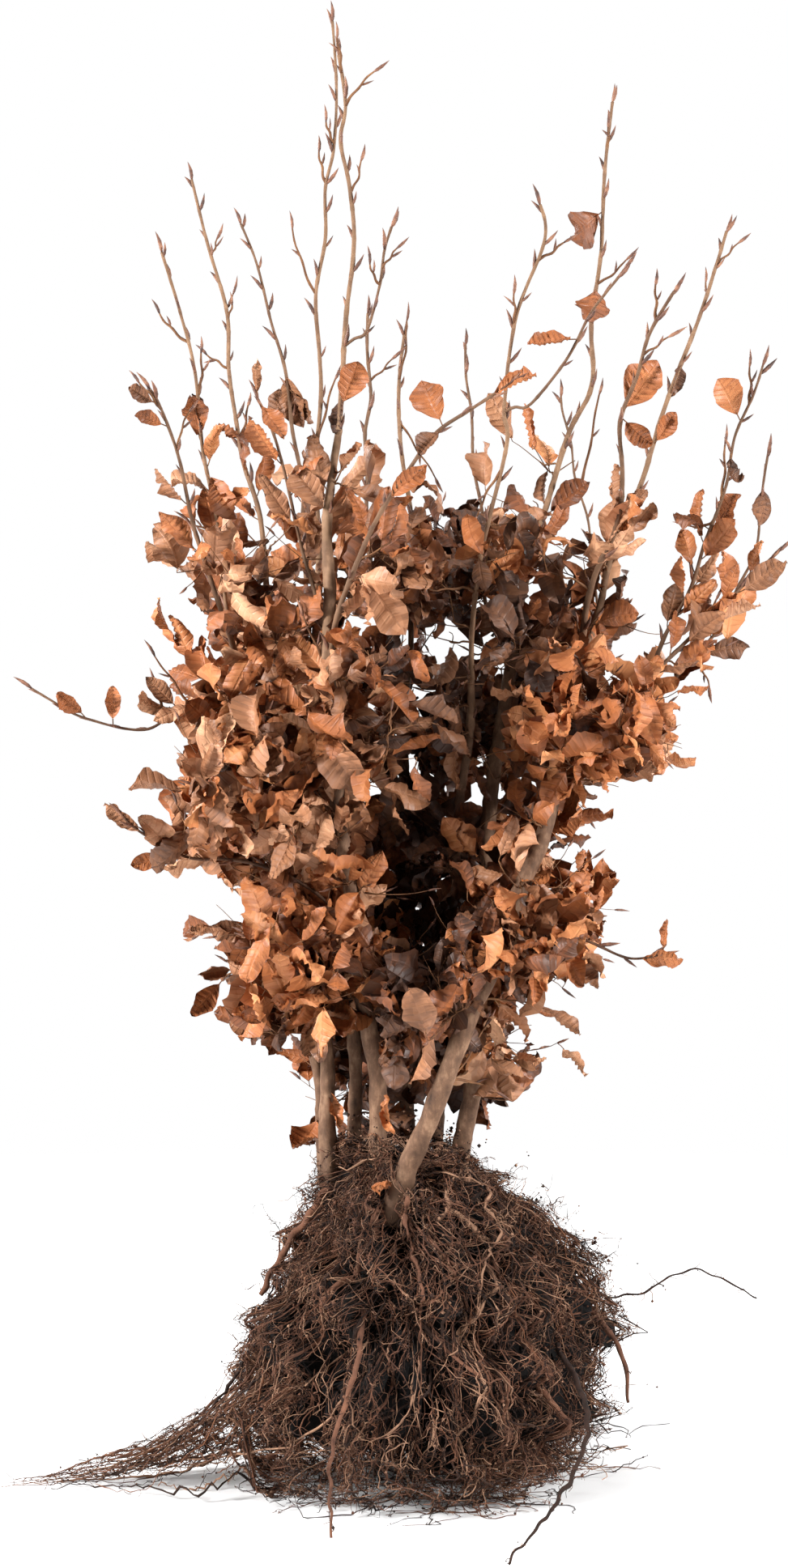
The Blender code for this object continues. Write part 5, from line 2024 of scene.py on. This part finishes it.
@dataclass
class SpreadShape:
    """A flat bundle of roots that leaves the root mass and ends in a thin tip on the floor.

    Width is a share of the number of roots. Half and height are measured at even stations along it.
    """

    node: str
    start: Array
    tip: Array
    width: float
    half: Array = field(default_factory=lambda: np.full(24, 0.012))
    height: Array = field(default_factory=lambda: np.full(24, 0.006))

    @property
    def side(self) -> Array:
        """Level direction square to the bundle."""
        along = unit(self.tip - self.start)
        return np.array([-along[1], along[0], 0.0])

    def read(self) -> None:
        """Measure the bundle's height and half width along it by rays."""
        tree, side = read_tree(self.node), Vector(self.side)
        for row, share in enumerate(np.linspace(0.0, 1.0, len(self.half))):
            centre = Vector(self.start + (self.tip - self.start) * share)
            above = tree.ray_cast(centre + Vector(UP), -Vector(UP))[0]
            if above:
                self.height[row] = max(above.z, 0.004)
            beside = tree.ray_cast(centre + side * 0.5 + Vector((0, 0, 0.003)), -side)[0]
            if beside:
                self.half[row] = max((beside - centre).length, 0.006)

    def at(self, share: Array, across: Array, up: Array) -> Array:
        """Return points in the bundle.

        Args:
            share: Share of the way from the start to the tip.
            across: Share of the half width, to the side.
            up: Share of the height.

        Returns:
            The points.
        """
        stations = np.linspace(0.0, 1.0, len(self.half))
        across = across * np.interp(share, stations, self.half)
        points = self.start + (self.tip - self.start) * share[..., None] + self.side * across[..., None]
        points[..., 2] = up * np.interp(share, stations, self.height)
        return points

    def strands(self, count: int, rings: int, first: Span, last: Span, rng: Chance) -> Array:
        """Lay roots along the bundle.

        Formula: a root keeps near its own share of the width and of the height, with two slow waves and
        a chance walk, and narrows with the bundle to the tip.

        Args:
            count: How many roots.
            rings: Rings along each.
            first: Range of the shares of the bundle's length where roots start.
            last: Range of the shares where they end.
            rng: Source of chance.

        Returns:
            Paths of shape (count, rings, 3).
        """
        begin = rng.uniform(*first, count)[:, None]
        reached = last[0] + (last[1] - last[0]) * rng.uniform(0, 1, count)[:, None] ** 1.5
        end = begin + (1.0 - begin) * reached
        t = begin + (end - begin) * np.linspace(0.0, 1.0, rings)[None]
        waves = rng.uniform(0.0, TURN, (2, count, 1))
        chance = np.cumsum(rng.normal(0.0, 0.055, (2, count, rings)), axis=2)
        across = rng.uniform(-0.95, 0.45, (count, 1)) + 0.24 * np.sin(7 * t + waves[0]) + chance[0]
        high = 0.25 + 0.75 * np.sqrt(rng.uniform(0.0, 1.0, (count, 1)))
        up = high + 0.16 * np.sin(6 * t + waves[1]) + 0.9 * chance[1]
        across, up = np.clip(across, -1.15, 1.15), np.clip(up, 0.03, 1.05)
        paths = self.at(t, across, up * np.sqrt(np.clip(1.1 - across ** 2, 0.05, 1.0)))
        return paths + rng.normal(0.0, 0.0010, paths.shape)

    def bridges(self, shape: RootShape, count: int, rings: int, rng: Chance) -> Array:
        """Lead roots from high on the root mass down into the bundle.

        Args:
            shape: Outline of the root mass.
            count: How many roots.
            rings: Rings along each.
            rng: Source of chance.

        Returns:
            Paths of shape (count, rings, 3).
        """
        middle = math.atan2(self.tip[1] - shape.axis[1], self.tip[0] - shape.axis[0])
        turn = middle + rng.normal(0.0, 0.62, count)
        start = shape.place(turn, rng.uniform(0.12, 0.30, count), rng.uniform(-0.003, 0.008, count))
        share = 0.22 + 0.55 * rng.uniform(0, 1, count) ** 1.5
        end = self.at(share, rng.uniform(-0.9, 0.45, count), rng.uniform(0.2, 1.0, count))
        gap = np.linalg.norm(end - start, axis=1)[:, None]
        along = unit(self.tip - self.start)
        leave = unit(0.10 * polar(turn, 1.0, 0.0) + along * 0.12 - UP) * gap * 0.9
        arrive = unit(self.tip - self.start - 0.05 * UP) * gap * 1.1
        paths = hermite(start, leave, end, arrive, rings)
        sway = np.cumsum(rng.normal(0.0, 0.0016, paths.shape), axis=1)
        swell = np.sin(np.linspace(0, math.pi, rings))[None, :, None]
        return paths + sway * swell + rng.normal(0, 0.0006, paths.shape)


SPREADS = (("root_spread_left", (-0.120, -0.020, 0.0), (-0.462, -0.035, 0.0), 1.0),
           ("root_spread_back", (0.060, 0.100, 0.0), (0.235, 0.245, 0.0), 0.55))


@dataclass
class RootMass:
    """The whole root mass: a near-black core that is painted shade, roots over and under it, spreads,
    rootlets and soil crumbs.
    """

    finishes: list[bpy.types.Material]
    core_painted_shade_finish: bpy.types.Material
    shape: RootShape = field(default_factory=RootShape)
    laid: list[Array] = field(default_factory=list)
    most_triangles: int = 180000
    core_turns: int = 120
    core_levels: int = 44
    core_bottom: Span = (0.078, 0.042)
    core_lowest: float = 0.024
    core_top: float = 0.386
    core_lump: float = 0.0045
    collar_count: int = 520
    collar_rings: int = 12
    collar_reach: float = 0.115
    collar_middle: Span = (-0.026, 0.0)
    fringe_count: int = 450
    long_fringe_count: int = 70
    fringe_rings: int = 16
    long_fringe_turns: Span = (-0.62, 0.10)
    hair_count: int = 560
    hair_rings: int = 13
    shoulder_share: float = 0.36
    spread_counts: tuple[int, int, int] = (84, 14, 64)
    run_sides: int = 9
    run_knots: float = 0.13
    run_bends: float = 0.0011
    rootlet_count: int = 11500
    crumb_count: int = 8000

    def lay(self, name: str, paths: Array, girth: Array, taper: float, sides: int, shares: Shares,
            rng: Chance, stands_for: tuple[str, ...] = ()) -> None:
        """Make strands as pieces that keep under the largest triangle count.

        Formula: a radius falls from the strand's girth to the taper share of it, with chance swellings.

        Args:
            name: Name of the piece. A number follows it when there are several.
            paths: Strand paths of shape (n, rings, 3).
            girth: Radius of each strand at its start.
            taper: Share of the girth that is left at the tip.
            sides: Points round a ring.
            shares: Shares of the root finishes.
            rng: Source of chance.
            stands_for: CAD nodes that the first piece replaces.
        """
        count, rings = paths.shape[:2]
        self.laid.append(paths.reshape(-1, 3))
        fall = 1.0 - (1.0 - taper) * np.linspace(0.0, 1.0, rings) ** 0.8
        radii = girth[:, None] * fall[None] * np.clip(1.0 + rng.normal(0.0, 0.26, (count, rings)), 0.55, 1.9)
        slots = rng.choice(len(self.finishes), size=count, p=np.array(shares) / sum(shares))
        paths = self.shape.under_collar(paths)
        paths[..., 2] = np.maximum(paths[..., 2], radii + 0.0002)
        each = (rings - 1) * sides * 2 + 2 * (sides - 2)
        parts = math.ceil(count * each / self.most_triangles)
        for part in range(parts):
            draft = MeshDraft()
            draft.add(*sweep(paths[part::parts], radii[part::parts], sides, slots[part::parts]))
            label = name if parts == 1 else f"{name}_{part + 1}"
            draft.make(label, self.finishes, stands_for if part == 0 else ())

    def build_core(self) -> None:
        """Make the core, near black as painted shade of the hollows between the roots: the outline drawn in,
        lumpy, with a ragged lower edge, closed both ways.
        """
        turns, levels = self.core_turns, self.core_levels
        turn = even_turns(turns)
        share = np.linspace(0.0, 1.0, levels)[:, None]
        ragged = Ripple(SEED + 41, 0.075)
        middle, swing = self.core_bottom
        low = np.maximum(middle + swing * ragged(polar(turn, 0.2, 0.0))[None], self.core_lowest)
        height = low + (self.core_top - low) * share
        under, over = np.clip(1.0 - share * 7.0, 0.0, 1.0), np.clip(share * 9 - 8, 0, 1)
        points = self.shape.place(turn, height, 0.025 + 0.10 * under ** 2 + 0.03 * over)
        points = points + self.core_lump * Ripple(SEED + 42, 0.022).push(points)
        points = self.shape.under_collar(points) - 0.006 * UP
        ends = np.array([[*self.shape.axis, 0.15], [*self.shape.axis, 0.364]])
        index = closed(np.arange(turns * levels).reshape(levels, turns))
        across = np.arange(turns + 1) / turns
        walls = grid_places(across, np.linspace(0.08, 0.92, levels))
        batches = [Batch(corners_of(index).reshape(-1, 4), walls, np.zeros(len(walls), int))]
        begin, end = np.arange(turns), np.arange(1, turns + 1)
        for tip, left, right, rim, point in ((0, end, begin, 0.06, 0.0), (1, begin, end, 0.93, 0.99)):
            fan = np.stack([index[-tip, left], index[-tip, right], 0 * end + turns * levels + tip], axis=-1)
            u = np.stack([across[left], across[right], 0.5 * (across[left] + across[right])], axis=-1)
            places = np.stack(np.broadcast_arrays(u, [rim, rim, point]), axis=-1)
            batches.append(Batch(fan, places, np.zeros(turns, int)))
        draft = MeshDraft()
        draft.add(np.vstack([points.reshape(-1, 3), ends]), batches)
        draft.make("root_core", [self.core_painted_shade_finish], ("root_ball",))

    def build_strands(self) -> None:
        """Lay the roots of every rule over and under the core."""
        for number, rule in enumerate(STRANDS):
            rng = np.random.default_rng(SEED + 50 + number)
            paths = self.shape.walk(rule, rng)
            girth = rng.uniform(0.0, 1.0, rule.count) ** 1.6 * (rule.girth[1] - rule.girth[0]) + rule.girth[0]
            self.lay(rule.name, paths, girth, rule.taper, rule.sides, rule.shades, rng)

    def build_collar(self) -> None:
        """Lay short roots over the top of the mass, between the stems' feet."""
        rng = np.random.default_rng(SEED + 60)
        tree = read_tree("root_ball")
        count, rings = self.collar_count, self.collar_rings
        turn, reach = rng.uniform(0, TURN, count), self.collar_reach * np.sqrt(rng.uniform(0, 1, count))
        start = polar(turn, reach, 0.0, self.collar_middle)
        way = rng.normal(size=(count, 3)) * [1, 1, 0]
        paths = wander(start, way, rng.uniform(0.03, 0.08, count), rings, 0.45, 1.0, rng)
        lift = rng.uniform(-0.004, 0.010, count)[:, None] + 0.003 * rng.normal(size=(count, rings))
        for row, ring in np.ndindex(count, rings):
            hit = tree.ray_cast(Vector((*paths[row, ring, :2], 1.0)), -Vector(UP))[0]
            paths[row, ring, 2] = (hit.z if hit else 0.20) + lift[row, ring]
        out = paths - [*self.shape.axis, 0.0]
        turn = np.arctan2(out[..., 1], out[..., 0])
        outline = self.shape.place(turn, paths[..., 2], 0 * turn) - [*self.shape.axis, 0.0]
        inside = np.linalg.norm(out[..., :2], axis=-1) < np.linalg.norm(outline[..., :2], axis=-1) + 0.010
        paths = paths[inside.all(axis=1)]
        self.lay("root_collar", paths, rng.uniform(0.0005, 0.0010, len(paths)), 0.5, 3,
                 (0.2, 0.45, 0.3, 0.05), rng)

    def build_fringe(self) -> None:
        """Lay thin roots that run out over the floor, the long ones first, and hairs off the outline."""
        rng = np.random.default_rng(SEED + 70)
        count, far = self.fringe_count, self.long_fringe_count
        turn = rng.uniform(0, TURN, count)
        turn[:far] = rng.uniform(*self.long_fringe_turns, far) * math.pi
        height = 0.004 + rng.exponential(0.022, count)
        start = self.shape.place(turn, height, rng.uniform(-0.002, 0.030, count))
        lean = turn + rng.normal(0.0, 0.75, count)
        way = polar(lean, 1.0, rng.uniform(-0.6, 0.0, count))
        reach = 0.02 + 0.13 * rng.uniform(0, 1, count) ** 1.5
        reach[:far] = rng.uniform(0.09, 0.17, far)
        paths = wander(start, way, reach, self.fringe_rings, 0.45, 0.30, rng)
        girth = rng.uniform(0.0004, 0.0009, count)
        girth[:far] = girth[:far] * 0.5 + 0.0006
        self.lay("root_fringe", paths, girth, 0.5, 3, (0.40, 0.40, 0.20, 0.0), rng)
        count = self.hair_count
        shoulder = rng.uniform(0, 1, count) < self.shoulder_share
        turn = np.where(shoulder, rng.normal(0.0, 0.45, count), rng.uniform(0, TURN, count))
        height = np.where(shoulder, rng.uniform(0.20, 0.33, count),
                          0.37 * rng.uniform(0.05, 1.0, count) ** 0.8)
        start = self.shape.place(turn, height, np.full(count, 0.002))
        lean = turn + rng.normal(0.0, 0.6, count)
        way = polar(lean, 1.0, rng.normal(0.0, 0.6, count))
        paths = wander(start, way, rng.uniform(0.018, 0.075, count), self.hair_rings, 0.55, 0.0, rng)
        self.lay("root_hairs", paths, rng.uniform(0.00026, 0.00042, count), 0.6, 3, (0.3, 0.5, 0.2, 0.0), rng)

    def build_spreads(self) -> None:
        """Lay both root spreads as bundles: fine roots, thick roots and bridges from the mass."""
        for number, (node, start, tip, width) in enumerate(SPREADS):
            rng = np.random.default_rng(SEED + 80 + number)
            spread = SpreadShape(node, np.array(start), np.array(tip), width)
            spread.read()
            fine, thick, joined = (int(count * width) for count in self.spread_counts)
            paths = spread.strands(fine, 26, (0.0, 0.45), (0.20, 1.0), rng)
            self.lay(f"{node}_fibres", paths, rng.uniform(0.0004, 0.0010, fine), 0.5, 3,
                     (0.35, 0.40, 0.20, 0.05), rng)
            paths = spread.strands(thick, 40, (0.0, 0.15), (0.35, 0.90), rng)
            self.lay(f"{node}_roots", paths, rng.uniform(0.0011, 0.0024, thick), 0.25, 6,
                     (0.25, 0.50, 0.20, 0.05), rng, (node,))
            paths = spread.bridges(self.shape, joined, 34, rng)
            self.lay(f"{node}_bridges", paths, 0.0006 + 0.0020 * rng.uniform(0, 1, joined) ** 3.0, 0.35, 4,
                     (0.15, 0.45, 0.34, 0.06), rng)

    def build_runs(self) -> None:
        """Make each single root that the solids give, with knots and bends of its own."""
        for number, node in enumerate(ROOT_RUN_NODES):
            limb = read_limb(node).fine(0.004)
            around = polar(even_turns(self.run_sides), 0.006, 0.0)
            knots = self.run_knots * Ripple(SEED + 90 + number, 0.016)(limb.path[:, None] + around[None])
            path = limb.path + self.run_bends * Ripple(SEED + 95 + number, 0.03).push(limb.path)
            radii = limb.radii[:, None] * (1.0 + knots)
            path[:, 2] = np.maximum(path[:, 2], radii.max(axis=1) + 0.0002)
            draft = MeshDraft()
            draft.add(*sweep(path[None], radii[None], self.run_sides, number % 2))
            draft.make(f"{node}_bark", self.finishes, (node,))
            self.laid.append(np.repeat(path, 2, axis=0))

    def build_rootlets(self) -> None:
        """Set short curled rootlets and soil crumbs on the roots that are laid."""
        rng = np.random.default_rng(SEED + 99)
        places, count = np.concatenate(self.laid), self.rootlet_count
        start = places[rng.integers(len(places), size=count)]
        outward = unit((start - [*self.shape.axis, 0.0]) * [1, 1, 0])
        way = unit(0.8 * outward + rng.normal(0.0, 0.9, start.shape))
        paths = wander(start, way, rng.uniform(0.006, 0.022, count), 4, 0.85, 0.0, rng)
        self.lay("rootlets", paths, rng.uniform(0.00030, 0.00052, count), 0.7, 3,
                 (0.34, 0.42, 0.22, 0.02), rng)
        self.build_crumbs(np.concatenate([places, paths[:, 2:].reshape(-1, 3)]), rng)

    def build_crumbs(self, places: Array, rng: Chance) -> None:
        """Set small eight-sided crumbs of earth on the roots.

        Args:
            places: Points on the roots.
            rng: Source of chance.
        """
        count = self.crumb_count
        size = 0.0008 + 0.0017 * rng.uniform(0, 1, count) ** 2.5
        centre = places[rng.integers(len(places), size=count)] + rng.normal(0, 0.0006, (count, 3))
        centre[:, 2] = np.maximum(centre[:, 2], size * 1.4 + 0.0002)
        corners = np.array([[1, 0, 0], [0, 1, 0], [-1, 0, 0], [0, -1, 0], [0, 0, 1], [0, 0, -1]], dtype=float)
        points = centre[:, None] + size[:, None, None] * corners * rng.uniform(0.6, 1.3, (count, 6, 1))
        faces = np.array([[0, 1, 4], [1, 2, 4], [2, 3, 4], [3, 0, 4],
                          [1, 0, 5], [2, 1, 5], [3, 2, 5], [0, 3, 5]])
        faces = (faces[None] + 6 * np.arange(count)[:, None, None]).reshape(-1, 3)
        cell = np.stack([np.arange(8) % 4 / 4, np.arange(8) // 4 / 2], axis=-1)
        place = cell[:, None] + np.array([[0.05, 0.05], [0.20, 0.05], [0.12, 0.40]])[None]
        slots = rng.choice(len(self.finishes), size=count, p=[0.5, 0.4, 0.1, 0.0])
        draft = MeshDraft()
        draft.add(points.reshape(-1, 3), [Batch(faces, np.broadcast_to(place, (count, 8, 3, 2)),
                                                np.repeat(np.arange(count), 8), np.repeat(slots, 8))])
        draft.make("soil_crumbs", self.finishes)

    def build(self) -> None:
        """Build the root mass from the core outward."""
        self.shape.read()
        self.build_core()
        self.build_strands()
        self.build_collar()
        self.build_fringe()
        self.build_spreads()
        self.build_runs()
        self.build_rootlets()


# ---- Stage and main ----


LIGHTS = (("left_light", (-3.0, -1.6, 1.9), 0.9, 290.0), ("right_light", (3.0, -1.7, 1.8), 0.9, 215.0),
          ("top_light", (0.0, -0.5, 4.2), 1.4, 60.0), ("back_left_light", (-2.4, 2.4, 2.2), 1.2, 70.0),
          ("back_right_light", (2.4, 2.4, 2.2), 1.2, 70.0))


@dataclass(frozen=True)
class Studio:
    """Pale round floor that fades out at its rim, soft lights, a white surround and the camera."""

    floor_reach: float = 3.0
    fade_from: float = 2.0
    surround: float = 0.16
    lens: float = 66.1
    sensor: float = 36.0
    aim: tuple[float, float, float] = (0.0, 0.0, 0.8)

    def show(self, name: str, data: bpy.types.ID) -> bpy.types.Object:
        """Put a mesh, light or camera on the stage."""
        thing = bpy.data.objects.new(name, data)
        bpy.context.scene.collection.objects.link(thing)
        return thing

    def build_floor(self) -> None:
        """Make the floor disc.

        Formula: points stand at even turns on rings, and the disc fades out between two distances from
        the middle.
        """
        turns, rings = 64, 8
        points = polar(even_turns(turns), np.linspace(0.2, self.floor_reach, rings)[:, None], 0.0)
        index = closed(np.arange(rings * turns).reshape(rings, turns))
        faces = corners_of(index)[..., [0, 3, 2, 1]].reshape(-1, 4).tolist()
        mesh = bpy.data.meshes.new("floor")
        mesh.from_pydata(points.reshape(-1, 3).tolist(), [], faces + [index[0, :-1].tolist()])
        skin = Skin.start("studio_white", 0.9)
        skin.wear("Base Color", (0.86, 0.86, 0.86, 1.0))
        distance = skin.add("ShaderNodeVectorMath", operation="LENGTH")
        skin.feed(distance.inputs[0], skin.place())
        share = skin.math("DIVIDE", distance.outputs["Value"], self.floor_reach)
        skin.wear("Alpha", skin.fade(share, 0.98, self.fade_from / self.floor_reach))
        mesh.materials.append(skin.material)
        self.show("floor", mesh)

    def build_lights(self) -> None:
        """Make the square soft lights, which shine at the middle of the plant."""
        for name, place, size, power in LIGHTS:
            lamp = bpy.data.lights.new(name, "AREA")
            lamp.size = size
            lamp.energy = power
            light = self.show(name, lamp)
            light.location = place
            light.rotation_mode = "QUATERNION"
            light.rotation_quaternion = (Vector(self.aim) - Vector(place)).to_track_quat("-Z", "Y")

    def build_world(self) -> None:
        """Make a surround that is white to the camera and lights the plant only a little."""
        world = bpy.data.worlds.new("studio")
        world.use_nodes = True
        sheet = NodeSheet(world.node_tree)
        background = world.node_tree.nodes["Background"]
        background.inputs["Color"].default_value = WHITE
        seen = sheet.add("ShaderNodeLightPath").outputs["Is Camera Ray"]
        sheet.feed(background.inputs["Strength"], sheet.math("MAXIMUM", seen, self.surround))
        bpy.context.scene.world = world

    def build_camera(self) -> None:
        """Make the camera, level and square to the front."""
        camera = bpy.data.cameras.new("camera")
        camera.lens = self.lens
        camera.sensor_width = self.sensor
        holder = self.show("camera", camera)
        holder.location = tuple(CAMERA_PLACE)
        holder.rotation_euler = (math.pi / 2, 0.0, 0.0)
        bpy.context.scene.camera = holder

    def build(self) -> None:
        """Make the floor, the lights, the surround and the camera."""
        self.build_floor()
        self.build_lights()
        self.build_world()
        self.build_camera()
        bpy.context.scene.view_settings.view_transform = "Standard"


STEM_BARK = BarkFinish("stem_bark", (62, 44, 33), (102, 75, 57), (150, 118, 93), roughness=0.74,
                       grain_scale=170.0, pore_scale=240.0, soil_top=0.40, tan_share=0.42)
SHOOT_BARK = BarkFinish("shoot_bark", (54, 37, 27), (84, 59, 44), (118, 88, 67), roughness=0.72,
                        grain_scale=80.0, pore_scale=220.0, soil_top=0.30, tan_share=0.22)
TWIG_BARK = BarkFinish("twig_bark", (64, 40, 25), (100, 66, 42), (136, 96, 62), roughness=0.7,
                       grain_scale=120.0, pore_scale=260.0, soil_top=0.30)
ROOT_SHADES = (RootFinish("root_dark", (18, 11, 8), (54, 34, 25)),
               RootFinish("root_brown", (62, 39, 29), (114, 76, 57)),
               RootFinish("root_pale", (100, 71, 55), (164, 126, 100)),
               RootFinish("root_rust", (84, 50, 34), (130, 86, 60)))
# Near-black finish of the core: painted shade of the deep hollows between the roots, darker than the earth
# itself.
ROOT_CORE_PAINTED_SHADE = RootFinish("root_core", (5, 3, 3), (14, 10, 8), scale=160.0)


def main() -> None:
    """Build the plant from the ground up, then the stage."""
    logging.basicConfig(level=logging.INFO, format="%(name)s: %(message)s")
    soil, pattern = soil_dust(), leaf_pattern()
    wood = Wood(STEM_BARK.build(soil), SHOOT_BARK.build(soil))
    wood.read()
    wood.build()
    leaf_finishes = [LeafFinish(family, step).build(pattern) for family in LeafFamily
                     for step in range(TINT_STEPS)]
    Crown(wood, leaf_finishes, TWIG_BARK.build(soil), BudFinish().build()).build()
    RootMass([shade.build() for shade in ROOT_SHADES], ROOT_CORE_PAINTED_SHADE.build()).build()
    Studio().build()


if __name__ == "__main__":
    main()
